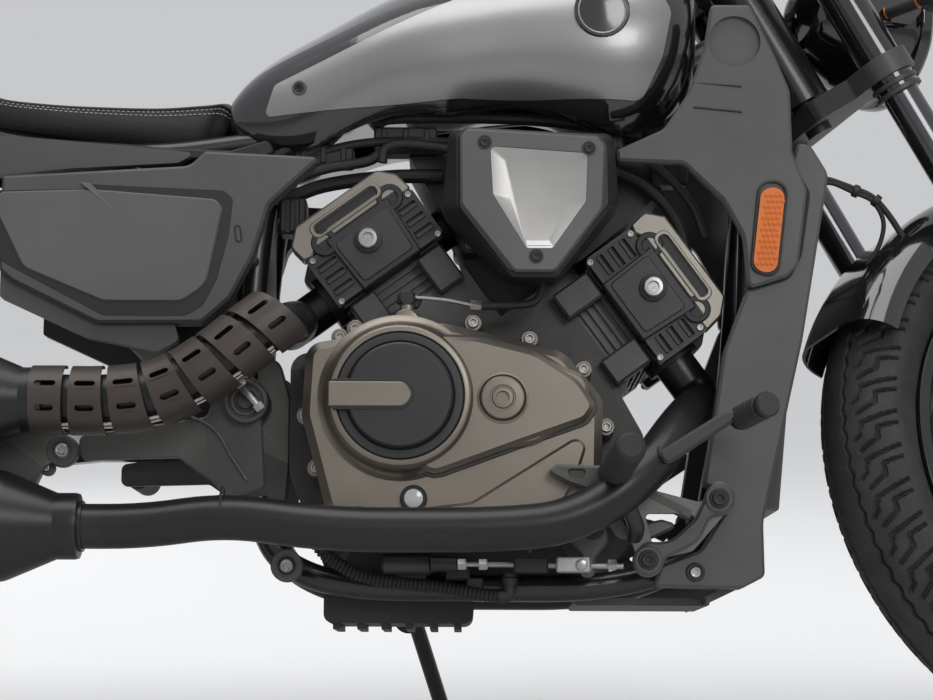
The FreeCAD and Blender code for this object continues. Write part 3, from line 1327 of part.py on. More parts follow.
def instrument():
    body = turned(((0, 0, 0), (38, 0, 8), (50, 30, 6), (50, 44, 3), (0, 44, 0)), V(1228, 0, 958),
                  V(-0.55, 0, 0.83))
    arm = rod(fork_point(40, 0, UPPER_CLAMP + CLAMP_T - 4), V(1224, 0, 962), 12)
    return join(body, arm)


def indicators_front():
    stalk = rod(V(1302, -92, 814), V(1330, -142, 814), 7)
    lamp = turned(((0, 0, 0), (20, 4, 3), (24, 26, 4), (20, 40, 4), (0, 44, 0)), V(1310, -156, 814), X_AXIS)
    return both(join(stalk, lamp))


# Nodes of each body: node name and the function that makes it
BODIES = {
    "chassis": {
        "frame_spine": frame_spine,
        "frame_rails": frame_rails,
        "pivot_plates": pivot_plates,
        "hanger_plates": hanger_plates,
        "swingarm": swingarm,
        "rear_axle": rear_axle,
        "subframe": subframe,
        "shocks": shocks,
        "engine_case": engine_case,
        "clutch_cover": clutch_cover,
        "clutch_cap": clutch_cap,
        "left_covers": left_covers,
        "cylinder_rear": lambda: cylinder("rear"),
        "cylinder_front": lambda: cylinder("front"),
        "cylinder_covers": cylinder_covers,
        "head_strips": head_strips,
        "air_cleaner": air_cleaner,
        "engine_box": engine_box,
        "battery_box": battery_box,
        "drive_belt": drive_belt,
        "radiator": radiator,
        "radiator_shrouds": radiator_shrouds,
        "reflectors": reflectors,
        "head_covers": head_covers,
        "fuel_tank": fuel_tank,
        "tank_panels": tank_panels,
        "fuel_cap": fuel_cap,
        "seat_rider": seat_rider,
        "seat_pillion": seat_pillion,
        "side_covers": side_covers,
        "rear_fender": rear_fender,
        "plate_holder": plate_holder,
        "rear_lamps": rear_lamps,
        "rear_caliper": rear_caliper,
        "exhaust_pipes": exhaust_pipes,
        "heat_shield": heat_shield,
        "mufflers": mufflers,
        "foot_brackets": foot_brackets,
        "foot_levers": foot_levers,
        "foot_pegs": foot_pegs,
    },
    "fork": {
        "fork_clamps": fork_clamps,
        "fork_legs": fork_legs,
        "front_axle": front_axle,
        "front_calipers": front_calipers,
        "front_fender": front_fender,
        "headlight": headlight,
        "headlight_lens": headlight_lens,
        "handlebar": handlebar,
        "grips": grips,
        "bar_controls": bar_controls,
        "mirrors": mirrors,
        "instrument": instrument,
        "indicators_front": indicators_front,
    },
    "front_wheel": {
        "front_rim": front_rim,
        "front_tyre": front_tyre,
        "front_discs": front_discs,
    },
    "rear_wheel": {
        "rear_rim": rear_rim,
        "rear_tyre": rear_tyre,
        "rear_disc_and_pulley": rear_disc_and_pulley,
    },
    "stand": {
        "side_stand": side_stand,
    },
}


# Pieces shaped to what they seat on: the piece, and the neighbours that it is cut back to
SEATS = {
    "frame_spine": ("pivot_plates",),
    "frame_rails": ("pivot_plates",),
    "subframe": ("frame_spine", "rear_fender"),
    "pivot_plates": ("rear_axle",),
    "shocks": ("swingarm", "subframe"),
    "radiator": ("frame_rails",),
    "head_covers": ("radiator_shrouds", "fuel_tank", "tank_panels"),
    "fuel_tank": ("frame_spine", "subframe"),
    "tank_panels": ("frame_spine",),
    "fuel_cap": ("fuel_tank",),
    "seat_rider": ("subframe", "fuel_tank", "frame_spine"),
    "seat_pillion": ("subframe",),
    "air_cleaner": ("cylinder_rear", "cylinder_front", "engine_case"),
    "battery_box": ("frame_spine", "pivot_plates", "rear_axle", "subframe"),
    "side_covers": ("subframe", "frame_spine", "shocks"),
    "rear_lamps": ("rear_fender",),
    "plate_holder": ("rear_fender",),
    "foot_brackets": ("frame_rails",),
    "foot_pegs": ("foot_brackets",),
    "front_calipers": ("fork_legs",),
    "front_fender": ("fork_legs",),
    "headlight": ("fork_legs",),
    "indicators_front": ("headlight",),
    "handlebar": ("fork_clamps",),
    "instrument": ("fork_clamps",),
    "grips": ("handlebar",),
    "bar_controls": ("handlebar",),
    "mirrors": ("handlebar", "bar_controls"),
    "hanger_plates": ("mufflers",),
    "engine_box": ("engine_case", "frame_rails"),
}


def build():
    """All pieces by node name, with the machine upright and the steering straight."""
    shapes = {}
    for nodes in BODIES.values():
        for name, make in nodes.items():
            shapes[name] = make()
    for name, neighbours in SEATS.items():
        tools = [shapes[other] for other in neighbours]
        shapes[name] = group(*[solid.cut(tools) for solid in shapes[name].Solids])
    return shapes


def main():
    os.makedirs("parts", exist_ok=True)
    shapes = build()
    for body, nodes in BODIES.items():
        pose = STANCE.multiply(STEERED) if body in ("fork", "front_wheel") else STANCE
        for name in nodes:
            shape = shapes[name].copy()
            shape.Placement = pose.multiply(shape.Placement)
            shape.exportStep("parts/" + name + ".step")


main()
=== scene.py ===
import bpy
import bmesh
import json
import math
from mathutils import Matrix, Vector
from mathutils.bvhtree import BVHTree

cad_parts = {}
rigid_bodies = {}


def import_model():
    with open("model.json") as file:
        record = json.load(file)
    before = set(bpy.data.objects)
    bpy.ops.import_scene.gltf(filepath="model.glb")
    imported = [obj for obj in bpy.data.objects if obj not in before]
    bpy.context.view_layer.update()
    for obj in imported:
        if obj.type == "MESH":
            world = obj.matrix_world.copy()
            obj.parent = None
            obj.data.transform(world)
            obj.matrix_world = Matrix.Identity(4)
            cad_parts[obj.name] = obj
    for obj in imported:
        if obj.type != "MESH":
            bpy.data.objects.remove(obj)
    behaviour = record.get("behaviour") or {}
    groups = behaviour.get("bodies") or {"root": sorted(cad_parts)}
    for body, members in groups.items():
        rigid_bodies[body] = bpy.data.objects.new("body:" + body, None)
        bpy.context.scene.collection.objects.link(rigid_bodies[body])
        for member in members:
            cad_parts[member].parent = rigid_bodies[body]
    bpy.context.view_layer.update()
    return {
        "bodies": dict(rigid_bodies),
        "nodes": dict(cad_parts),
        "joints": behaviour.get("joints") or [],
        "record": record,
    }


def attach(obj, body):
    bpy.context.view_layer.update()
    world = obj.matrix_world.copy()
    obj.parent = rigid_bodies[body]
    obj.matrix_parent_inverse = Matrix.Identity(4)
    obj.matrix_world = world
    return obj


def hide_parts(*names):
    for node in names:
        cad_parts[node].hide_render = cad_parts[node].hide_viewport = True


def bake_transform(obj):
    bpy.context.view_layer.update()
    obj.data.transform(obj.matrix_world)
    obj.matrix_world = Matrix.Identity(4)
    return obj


# Looks of a cruiser motorcycle parked on its side stand. Forms are laid out in the machine's own
# upright millimetres, x forward from the rear axle, y left, z up, and then put into the frame.

RAKE = math.radians(29.5)
STEER_LOCK = math.radians(30)
STEER_FOOT = Vector((1655, 0, 0))
REAR_TYRE_R = 320
REAR_AXLE = (0, 0, REAR_TYRE_R)
FRONT_AXLE = (1545, 0, 319)
LEG_Y = 102.5
LEG_AHEAD = 36
MM = 0.001
ARC_STEPS = 5
ROUND_STEPS = 32

X_AXIS = Vector((1, 0, 0))
Y_AXIS = Vector((0, 1, 0))
Z_AXIS = Vector((0, 0, 1))
# Along the steering axis, and square to it, forward
STEER_AXIS = Vector((-math.sin(RAKE), 0, math.cos(RAKE)))
STEER_AHEAD = Vector((math.cos(RAKE), 0, math.sin(RAKE)))


# Where things are

def machine_frame(frame):
    """Matrix from upright machine millimetres to the posed frame, from the wheel and steering axes."""
    joints = {joint["name"]: joint for joint in frame["joints"]}
    across = Vector(joints["rear_wheel_spin"]["axis"])
    steer = Vector(joints["steering"]["axis"])
    square = across.cross(steer)
    forward = square * math.cos(RAKE) - steer * math.sin(RAKE)
    up = square * math.sin(RAKE) + steer * math.cos(RAKE)
    origin = Vector(joints["rear_wheel_spin"]["pos_m"]) - up * REAR_TYRE_R * MM
    turn = Matrix((forward, across, up)).transposed().to_4x4()
    return Matrix.Translation(origin) @ turn @ Matrix.Scale(MM, 4)


def steered_frame(machine):
    """The same for the fork's pieces, which are turned to the steering's left stop."""
    turn = Matrix.Rotation(STEER_LOCK, 4, STEER_AXIS)
    return machine @ Matrix.Translation(STEER_FOOT) @ turn @ Matrix.Translation(-STEER_FOOT)


def local(origin, u_axis, v_axis):
    """Matrix from (u, v, w) to machine millimetres, w being the outward normal u x v."""
    u_axis = Vector(u_axis).normalized()
    w_axis = u_axis.cross(Vector(v_axis)).normalized()
    v_axis = w_axis.cross(u_axis)
    return Matrix.Translation(Vector(origin)) @ Matrix((u_axis, v_axis, w_axis)).transposed().to_4x4()


def right_side(x=0, y=0, z=0):
    """Local frame on the right side: u forward, v up, w out to the right."""
    return local((x, y, z), X_AXIS, Z_AXIS)


def along_axis(origin, axis):
    """Local frame with w along an axis."""
    axis = Vector(axis).normalized()
    helper = Z_AXIS if abs(axis.z) < 0.9 else X_AXIS
    return local(origin, helper.cross(axis), axis.cross(helper.cross(axis)))


CRANK = Vector((893, 0, 377))
# Cylinders: tilt of the bore forward from upright, offset and distance of the cover's bolt
CYLINDERS = {"rear": (-36, -13, 223), "front": (54, -1, 205)}


def head_frame(name):
    """Local frame at a head cover's bolt: u along the head, v along the bore, w out to the right."""
    tilt, offset, bolt = CYLINDERS[name]
    turn = Matrix.Rotation(math.radians(tilt), 4, Y_AXIS)
    u_axis = turn @ X_AXIS
    v_axis = turn @ Z_AXIS
    return local(CRANK + u_axis * offset + v_axis * bolt, u_axis, v_axis)


# Outlines

def rounded(rows, steps=ARC_STEPS):
    """Points of a closed outline given as (u, v, corner radius)."""
    points = []
    count = len(rows)
    for i, (u, v, radius) in enumerate(rows):
        here = Vector((u, v))
        back = Vector(rows[i - 1][:2]) - here
        ahead = Vector(rows[(i + 1) % count][:2]) - here
        half = back.angle(ahead) / 2
        if radius == 0 or half > math.pi / 2 - 0.02:
            points.append(here)
            continue
        run = min(radius / math.tan(half), 0.49 * back.length, 0.49 * ahead.length)
        radius = run * math.tan(half)
        back.normalize()
        ahead.normalize()
        centre = here + (back + ahead).normalized() * (radius / math.sin(half))
        start = here + back * run - centre
        turn = start.angle_signed(here + ahead * run - centre)
        for k in range(steps + 1):
            points.append(centre + Matrix.Rotation(-turn * k / steps, 2) @ start)
    return points


def area(points):
    return sum(a.x * b.y - b.x * a.y for a, b in zip(points, points[1:] + points[:1])) / 2


def counter(points):
    """The same outline, running anticlockwise."""
    return points if area(points) > 0 else points[::-1]


def inset(points, size):
    """Anticlockwise outline moved inwards by a small size."""
    moved = []
    count = len(points)
    for i, here in enumerate(points):
        back = (here - points[i - 1]).normalized()
        ahead = (points[(i + 1) % count] - here).normalized()
        normal = Vector((-back.y - ahead.y, back.x + ahead.x))
        length = normal.length
        if length < 0.05:
            moved.append(here.copy())
            continue
        normal /= length
        reach = min(2.0, 2 / length)
        moved.append(here + normal * size * reach)
    return moved


def rect(u0, v0, u1, v1, radius):
    """Rows of a rectangle with rounded corners."""
    return (u0, v0, radius), (u1, v0, radius), (u1, v1, radius), (u0, v1, radius)


def stadium(u, v, length, width, angle=0, steps=7):
    """Slot outline with round ends, centred at (u, v)."""
    turn = Matrix.Rotation(math.radians(angle), 2)
    points = []
    for side in (1, -1):
        for k in range(steps + 1):
            a = math.pi * (k / steps - 0.5)
            end = Vector((side * ((length - width) / 2 + width / 2 * math.cos(a)),
                    side * width / 2 * math.sin(a)))
            points.append(Vector((u, v)) + turn @ end)
    return points


# Solids, gathered as lists of vertices and faces

class Form:
    """Vertices and faces of one piece, built up from simple solids in machine millimetres."""

    def __init__(self):
        self.verts = []
        self.faces = []

    def add(self, verts, faces, place=None):
        base = len(self.verts)
        self.verts += [place @ Vector(v) if place else Vector(v) for v in verts]
        self.faces += [tuple(base + i for i in face) for face in faces]
        return self

    def merge(self, other):
        return self.add(other.verts, other.faces)

    def mirrored(self):
        """The same form on the other side of the machine."""
        twin = Form()
        twin.verts = [Vector((v.x, -v.y, v.z)) for v in self.verts]
        twin.faces = [face[::-1] for face in self.faces]
        return twin

    def with_twin(self):
        return self.merge(self.mirrored())

    def rings(self, rings, place=None, first=True, last=True):
        """Skin through closed rings of equal count, with end caps."""
        count = len(rings[0])
        verts = [v for ring in rings for v in ring]
        faces = []
        for i in range(len(rings) - 1):
            for k in range(count):
                j = (k + 1) % count
                faces.append((i * count + k, i * count + j, (i + 1) * count + j, (i + 1) * count + k))
        if first:
            faces.append(tuple(reversed(range(count))))
        if last:
            faces.append(tuple(range((len(rings) - 1) * count, len(rings) * count)))
        return self.add(verts, faces, place)

    def slab(self, rows, low, high, edge, place=None, holes=()):
        """Flat piece with a bevelled upper edge, on the right side unless placed elsewhere.

        Holes are (outline, depth, edge), with depth None where they go through.
        """
        place = place or right_side()
        outer = counter(rounded(rows) if len(rows[0]) == 3 else list(rows))
        top = inset(outer, edge) if edge else outer
        if not holes:
            levels = [(outer, low), (outer, high - edge), (top, high)] if edge else [(outer, low),
                    (outer, high)]
            return self.rings([[(p.x, p.y, w) for p in ring] for ring, w in levels], place)
        mesh = bmesh.new()
        loops = [[mesh.verts.new((p.x, p.y, w)) for p in ring] for ring,
                w in ((outer, low), (outer, high - edge), (top, high))]
        self._walls(mesh, loops)
        upper = [loops[-1]]
        lower = [loops[0]]
        for rim, depth, rim_edge in holes:
            rim = counter(rounded(rim) if len(rim[0]) == 3 else list(rim))
            wide = inset(rim, -rim_edge) if rim_edge else rim
            floor_w = low if depth is None else high - depth
            levels = [(wide, high)]
            if rim_edge:
                levels.append((rim, high - rim_edge))
            levels.append((rim, floor_w))
            ring = [[mesh.verts.new((p.x, p.y, w)) for p in points] for points, w in levels]
            self._walls(mesh, ring)
            upper.append(ring[0])
            if depth is None:
                lower.append(ring[-1])
            else:
                mesh.faces.new(ring[-1])
        self._fill(mesh, upper, 1)
        self._fill(mesh, lower, -1)
        mesh.verts.index_update()
        self.add([v.co.copy() for v in mesh.verts], [[v.index for v in f.verts] for f in mesh.faces], place)
        mesh.free()
        return self

    @staticmethod
    def _walls(mesh, loops):
        for low, high in zip(loops, loops[1:]):
            count = len(low)
            for k in range(count):
                j = (k + 1) % count
                face = (low[k], low[j], high[j], high[k])
                mesh.faces.new(face)

    @staticmethod
    def _fill(mesh, loops, way):
        edges = []
        for loop in loops:
            for k, vert in enumerate(loop):
                following = loop[(k + 1) % len(loop)]
                edges.append(mesh.edges.get((vert, following)) or mesh.edges.new((vert, following)))
        made = bmesh.ops.triangle_fill(mesh, use_beauty=True, use_dissolve=False, edges=edges)
        for item in made["geom"]:
            if isinstance(item, bmesh.types.BMFace) and item.normal.z * way < 0:
                item.normal_flip()

    def lathe(self, rows, place, steps=ROUND_STEPS, low=False, high=True):
        """Round form from rows of (radius, w)."""
        rings = []
        for radius, w in rows:
            radius = max(radius, 0.01)
            rings.append([(radius * math.cos(2 * math.pi * k / steps),
                    radius * math.sin(2 * math.pi * k / steps), w) for k in range(steps)])
        return self.rings(rings, place, low, high)

    def grooved(self, ends, count, first, pitch, land, radii, place, steps):
        """Round rubber with grooves between the rows at its two ends."""
        rows = list(ends[0])
        for k in range(count):
            at = first + pitch * k
            rows += [(radii[0], at), (radii[0], at + land[0]), (radii[1], at + land[1]),
                    (radii[1], at + land[2])]
        return self.lathe(rows + list(ends[1]), place, steps)

    def bolt(self, centre, axis, radius=5, height=4, socket=True):
        """Cap screw head with a hexagon socket, or a plain domed head."""
        place = along_axis(centre, axis)
        steps = 24
        rows = [("r", radius, 0), ("r", radius, height * 0.75), ("r", radius * 0.86, height)]
        if socket:
            rows += [("r", radius * 0.62, height), ("h", radius * 0.56, height * 0.9),
                    ("h", radius * 0.56, height * 0.3)]
        else:
            rows += [("r", radius * 0.5, height * 1.15)]
        rings = []
        for kind, size, w in rows:
            ring = []
            for k in range(steps):
                a = 2 * math.pi * k / steps
                r = size
                if kind == "h":
                    r = size * math.cos(math.pi / 6) / math.cos((a + math.pi / 6) % (math.pi / 3)
                            - math.pi / 6)
                ring.append((r * math.cos(a), r * math.sin(a), w))
            rings.append(ring)
        return self.rings(rings, place, False)

    def hex_nut(self, centre, axis, radius=6, height=5):
        place = along_axis(centre, axis)
        rings = [[(r * math.cos(math.pi * k / 3), r * math.sin(math.pi * k / 3), w) for k in range(6)]
                for r, w in ((radius, 0), (radius, height * 0.8), (radius * 0.85, height))]
        return self.rings(rings, place, False)

    def pipe(self, points, radius, steps=12, per=6, caps=True, ripple=0, pitch=6):
        """Round tube on a smooth line through the points; a ripple makes it corrugated."""
        line = smooth_line(points, per)
        if ripple:
            line = even_line(line, pitch / 4)
        rings = []
        normal = None
        for i, here in enumerate(line):
            ahead = (line[min(i + 1, len(line) - 1)] - line[max(i - 1, 0)]).normalized()
            if normal is None:
                helper = Z_AXIS if abs(ahead.z) < 0.9 else X_AXIS
                normal = ahead.cross(helper).normalized()
            normal = (normal - ahead * normal.dot(ahead)).normalized()
            other = ahead.cross(normal)
            r = radius(i / (len(line) - 1)) if callable(radius) else radius
            if ripple:
                r += ripple * (1, 0.4, -1, 0.4)[i % 4]
            rings.append([here + normal * r * math.cos(2 * math.pi * k / steps) + other * r
                    * math.sin(2 * math.pi * k / steps) for k in range(steps)])
        return self.rings(rings, None, caps, caps)


def smooth_line(points, per=6):
    """Catmull-Rom line through the points."""
    points = [Vector(p) for p in points]
    if len(points) == 2:
        return points
    ends = [points[0] * 2 - points[1]] + points + [points[-1] * 2 - points[-2]]
    line = []
    for a, b, c, d in zip(ends, ends[1:], ends[2:], ends[3:]):
        for k in range(per):
            t = k / per
            line.append(0.5 * (2 * b + (c - a) * t + (2 * a - 5 * b + 4 * c - d) * t * t
                    + (3 * b - a - 3 * c + d) * t * t * t))
    return line + [points[-1]]


def even_line(line, step):
    """The line resampled at an even step."""
    result = [line[0]]
    left = step
    for a, b in zip(line, line[1:]):
        length = (b - a).length
        at = 0
        while length - at >= left:
            at += left
            result.append(a.lerp(b, at / length))
            left = step
        left -= length - at
    return result


class Bench:
    """Turns forms into pieces of the scene."""

    def __init__(self, frame, mats):
        self.nodes = frame["nodes"]
        self.machine = machine_frame(frame)
        self.steered = steered_frame(self.machine)
        self.mats = mats
        self.trees = {}

    def tree(self, node, matrix):
        """Search tree of a node's faces, in the bike's own millimetres."""
        if node not in self.trees:
            mesh = self.nodes[node].data
            verts = [matrix.inverted() @ v.co for v in mesh.vertices]
            self.trees[node] = BVHTree.FromPolygons(verts, [p.vertices for p in mesh.polygons])
        return self.trees[node]

    def height(self, node, x, y):
        """Level of the top of a node at (x, y)."""
        return self.tree(node, self.machine).ray_cast(Vector((x, y, 1500)), -Z_AXIS)[0].z

    def on_surface(self, node, x, z, rise=0, body="chassis", start=-500):
        """Local frame on the right-hand surface of a node at (x, z), w along its outward normal."""
        tree = self.tree(node, self.steered if body == "fork" else self.machine)
        hit, normal, _, _ = tree.ray_cast(Vector((x, start, z)), Y_AXIS)
        if hit is None:
            return right_side(x, -150, z)
        if normal.y > 0:
            normal = -normal
        return local(hit + normal * rise, Z_AXIS.cross(-normal) * -1, Z_AXIS)

    def piece(self, name, form, material, body="chassis", slot=None, sharp=30, replaces=()):
        matrix = self.steered if body in ("fork", "front_wheel") else self.machine
        mesh = bpy.data.meshes.new(name)
        mesh.from_pydata([matrix @ v for v in form.verts], [], form.faces)
        mesh.validate()
        work = bmesh.new()
        work.from_mesh(mesh)
        bmesh.ops.remove_doubles(work, verts=work.verts, dist=0.00002)
        bmesh.ops.recalc_face_normals(work, faces=work.faces)
        work.to_mesh(mesh)
        work.free()
        for poly in mesh.polygons:
            poly.use_smooth = True
        mesh.set_sharp_from_angle(angle=math.radians(sharp))
        mesh.materials.append(self.mats[material])
        obj = bpy.data.objects.new(name, mesh)
        bpy.context.scene.collection.objects.link(obj)
        if body is not None:
            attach(obj, body)
        if replaces:
            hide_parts(*replaces)
        return obj

    def twins(self, name, form, material, *rest, **named):
        """A piece that has the same form on both sides of the bike."""
        return self.piece(name, form.with_twin(), material, *rest, **named)


# Materials

def value_noise(nodes, links, scale, stretch=(1, 1, 1), detail=3.0):
    coords = nodes.new("ShaderNodeTexCoord")
    mapping = nodes.new("ShaderNodeMapping")
    mapping.inputs["Scale"].default_value = stretch
    texture = nodes.new("ShaderNodeTexNoise")
    texture.inputs["Scale"].default_value = scale
    texture.inputs["Detail"].default_value = detail
    links.new(coords.outputs["Object"], mapping.inputs["Vector"])
    links.new(mapping.outputs["Vector"], texture.inputs["Vector"])
    return texture.outputs["Fac"]


def ranged(nodes, links, fac, low, high):
    node = nodes.new("ShaderNodeMapRange")
    node.inputs["From Min"].default_value = 0.3
    node.inputs["From Max"].default_value = 0.7
    node.inputs["To Min"].default_value = low
    node.inputs["To Max"].default_value = high
    links.new(fac, node.inputs["Value"])
    return node.outputs["Result"]


def blended(nodes, links, factor, first, second):
    """Colour mix of two sockets or plain colours."""
    mix = nodes.new("ShaderNodeMix")
    mix.data_type = "RGBA"
    for key, value in (("A", first), ("B", second)):
        if isinstance(value, tuple):
            mix.inputs[key].default_value = value + (1,)
        else:
            links.new(value, mix.inputs[key])
    links.new(factor, mix.inputs["Factor"])
    return mix.outputs["Result"]


def make_material(name, colour, metallic=0.0, rough=0.5, spread=0.05, tint=0.12, grain=900.0,
                  grain_depth=0.0, stretch=(1, 1, 1), broad=9.0, coat=0.0, wear=None, sheen=0.0, dust=0.0):
    """Surface with slow colour drift, uneven gloss, a fine grain in relief, worn edges and light dust."""
    mat = bpy.data.materials.new(name)
    mat.use_nodes = True
    nodes = mat.node_tree.nodes
    links = mat.node_tree.links
    shader = nodes["Principled BSDF"]
    shader.inputs["Metallic"].default_value = metallic
    shader.inputs["Coat Weight"].default_value = coat
    shader.inputs["Coat Roughness"].default_value = 0.06
    shader.inputs["Sheen Weight"].default_value = sheen
    low = tuple(c * (1 - tint) for c in colour)
    high = tuple(min(1, c * (1 + tint)) for c in colour)
    drift = ranged(nodes, links, value_noise(nodes, links, broad), 0, 1)
    base = blended(nodes, links, drift, low, high)
    if wear:
        geometry = nodes.new("ShaderNodeNewGeometry")
        edge = nodes.new("ShaderNodeMapRange")
        edge.inputs["From Min"].default_value = 0.54
        edge.inputs["From Max"].default_value = 0.62
        links.new(geometry.outputs["Pointiness"], edge.inputs["Value"])
        base = blended(nodes, links, edge.outputs["Result"], base, wear)
    if dust:
        settled = ranged(nodes, links, value_noise(nodes, links, 34, detail=6), 0, dust)
        base = blended(nodes, links, settled, base, (0.20, 0.19, 0.175))
    links.new(base, shader.inputs["Base Color"])
    fine = value_noise(nodes, links, grain, stretch, 2.0)
    links.new(ranged(nodes, links, fine, rough - spread, rough + spread), shader.inputs["Roughness"])
    if grain_depth:
        bump = nodes.new("ShaderNodeBump")
        bump.inputs["Strength"].default_value = grain_depth
        bump.inputs["Distance"].default_value = 0.0004
        links.new(fine, bump.inputs["Height"])
        links.new(bump.outputs["Normal"], shader.inputs["Normal"])
    return mat


def materials():
    make = make_material
    return {
        "gloss_black": make("gloss_black", (0.010, 0.010, 0.012), 0.0, 0.10, 0.03, coat=1.0),
        "satin_black": make("satin_black", (0.020, 0.020, 0.022), 0.0, 0.42, 0.06, grain_depth=0.25,
                            grain=1400, wear=(0.06, 0.06, 0.06)),
        "frame_black": make("frame_black", (0.018, 0.018, 0.020), 0.2, 0.30, 0.05, coat=0.3),
        "engine_dark": make("engine_dark", (0.050, 0.049, 0.048), 0.5, 0.46, 0.08, grain_depth=0.5,
                            grain=800, wear=(0.13, 0.13, 0.13), dust=0.10),
        "bronze": make("bronze", (0.225, 0.198, 0.168), 0.85, 0.36, 0.05, grain_depth=0.25, grain=1500),
        "champagne": make("champagne", (0.265, 0.245, 0.212), 0.80, 0.38, 0.05, grain_depth=0.2, grain=1500),
        "silver_paint": make("silver_paint", (0.30, 0.298, 0.295), 0.80, 0.36, 0.05, grain=2600,
                             coat=0.25, broad=4),
        "bright_inlay": make("bright_inlay", (0.46, 0.45, 0.435), 0.55, 0.36, 0.05, grain_depth=0.15,
                             grain=1800),
        "brushed": make("brushed", (0.34, 0.34, 0.34), 0.9, 0.38, 0.10, grain=260, stretch=(1, 1, 12),
                        grain_depth=0.12),
        "satin_metal": make("satin_metal", (0.105, 0.104, 0.102), 0.6, 0.42, 0.06, grain_depth=0.25,
                            grain=1500),
        "grey_plastic": make("grey_plastic", (0.080, 0.079, 0.078), 0.0, 0.50, 0.05, grain_depth=0.35,
                             grain=1600, dust=0.06),
        "cover_plate": make("cover_plate", (0.118, 0.117, 0.115), 0.1, 0.44, 0.05, grain_depth=0.2,
                            grain=1600, broad=5, dust=0.05),
        "head_black": make("head_black", (0.028, 0.027, 0.026), 0.1, 0.44, 0.06, grain_depth=0.3,
                           grain=1500, wear=(0.07, 0.07, 0.065)),
        "black_plastic": make("black_plastic", (0.014, 0.014, 0.015), 0.0, 0.50, 0.06, grain_depth=0.4,
                              grain=1500),
        "leather": make("leather", (0.016, 0.016, 0.017), 0.0, 0.55, 0.08, grain_depth=0.9, grain=520,
                        sheen=0.15),
        "tyre": make("tyre", (0.022, 0.022, 0.022), 0.0, 0.72, 0.08, grain_depth=0.8, grain=700, dust=0.12),
        "rubber": make("rubber", (0.015, 0.015, 0.015), 0.0, 0.62, 0.08, grain_depth=0.5, grain=900),
        "wheel": make("wheel", (0.020, 0.020, 0.022), 0.3, 0.28, 0.05, coat=0.5),
        "steel": make("steel", (0.40, 0.39, 0.38), 0.9, 0.32, 0.08, grain=400, stretch=(1, 1, 6),
                      grain_depth=0.1),
        "disc_steel": make("disc_steel", (0.20, 0.197, 0.192), 0.85, 0.42, 0.08, grain=500, grain_depth=0.1),
        "chrome": make("chrome", (0.62, 0.62, 0.63), 1.0, 0.10, 0.03),
        "exhaust": make("exhaust", (0.018, 0.018, 0.019), 0.3, 0.33, 0.06, broad=5, wear=(0.05, 0.05, 0.045)),
        "shield": make("shield", (0.068, 0.055, 0.048), 0.45, 0.44, 0.06, grain_depth=0.2, grain=1500),
        "casting": make("casting", (0.070, 0.069, 0.066), 0.4, 0.50, 0.08, grain_depth=0.6, grain=700,
                        wear=(0.16, 0.16, 0.15), dust=0.08),
        "amber": make("amber", (0.66, 0.15, 0.010), 0.0, 0.42, 0.05),
        "red": make("red", (0.36, 0.010, 0.010), 0.0, 0.14, 0.03, coat=0.6),
        "dark_chrome": make("dark_chrome", (0.10, 0.10, 0.105), 0.9, 0.16, 0.03, coat=0.3),
        "glass": make("glass", (0.16, 0.17, 0.18), 0.5, 0.06, 0.02, coat=1.0),
        "dark_glass": make("dark_glass", (0.008, 0.009, 0.012), 0.0, 0.06, 0.02, coat=1.0),
        "pale_glass": make("pale_glass", (0.66, 0.66, 0.64), 0.0, 0.12, 0.03, coat=1.0),
        "mirror": make("mirror", (0.75, 0.76, 0.78), 1.0, 0.03, 0.01),
        "orange": make("orange", (0.75, 0.16, 0.02), 0.0, 0.4, 0.05),
        "thread": make("thread", (0.42, 0.41, 0.39), 0.0, 0.7, 0.05),
    }


NODE_MATERIALS = {
    "frame_black": "frame_spine frame_rails swingarm subframe side_stand",
    "casting": "pivot_plates hanger_plates foot_brackets",
    "satin_black": "shocks cylinder_covers rear_caliper fork_clamps front_calipers handlebar radiator",
    "engine_dark": "engine_case cylinder_rear cylinder_front",
    "bronze": "clutch_cover left_covers",
    "champagne": "head_strips",
    "black_plastic": "air_cleaner engine_box plate_holder bar_controls mirrors instrument battery_box",
    "grey_plastic": "radiator_shrouds side_covers head_covers",
    "gloss_black": "fuel_tank rear_fender front_fender headlight fork_legs",
    "silver_paint": "tank_panels",
    "exhaust": "exhaust_pipes mufflers",
    "rubber": "grips drive_belt",
    "wheel": "front_rim rear_rim",
    "steel": "rear_axle front_axle fuel_cap",
    "disc_steel": "front_discs rear_disc_and_pulley",
    "amber": "reflectors indicators_front",
    "red": "rear_lamps",
    "glass": "headlight_lens",
}


def dress_nodes(frame, mats):
    for key, names in NODE_MATERIALS.items():
        for name in names.split():
            mesh = frame["nodes"][name].data
            mesh.materials.clear()
            mesh.materials.append(mats[key])


# Engine, right side

CLUTCH_AT = (789.5, 370)


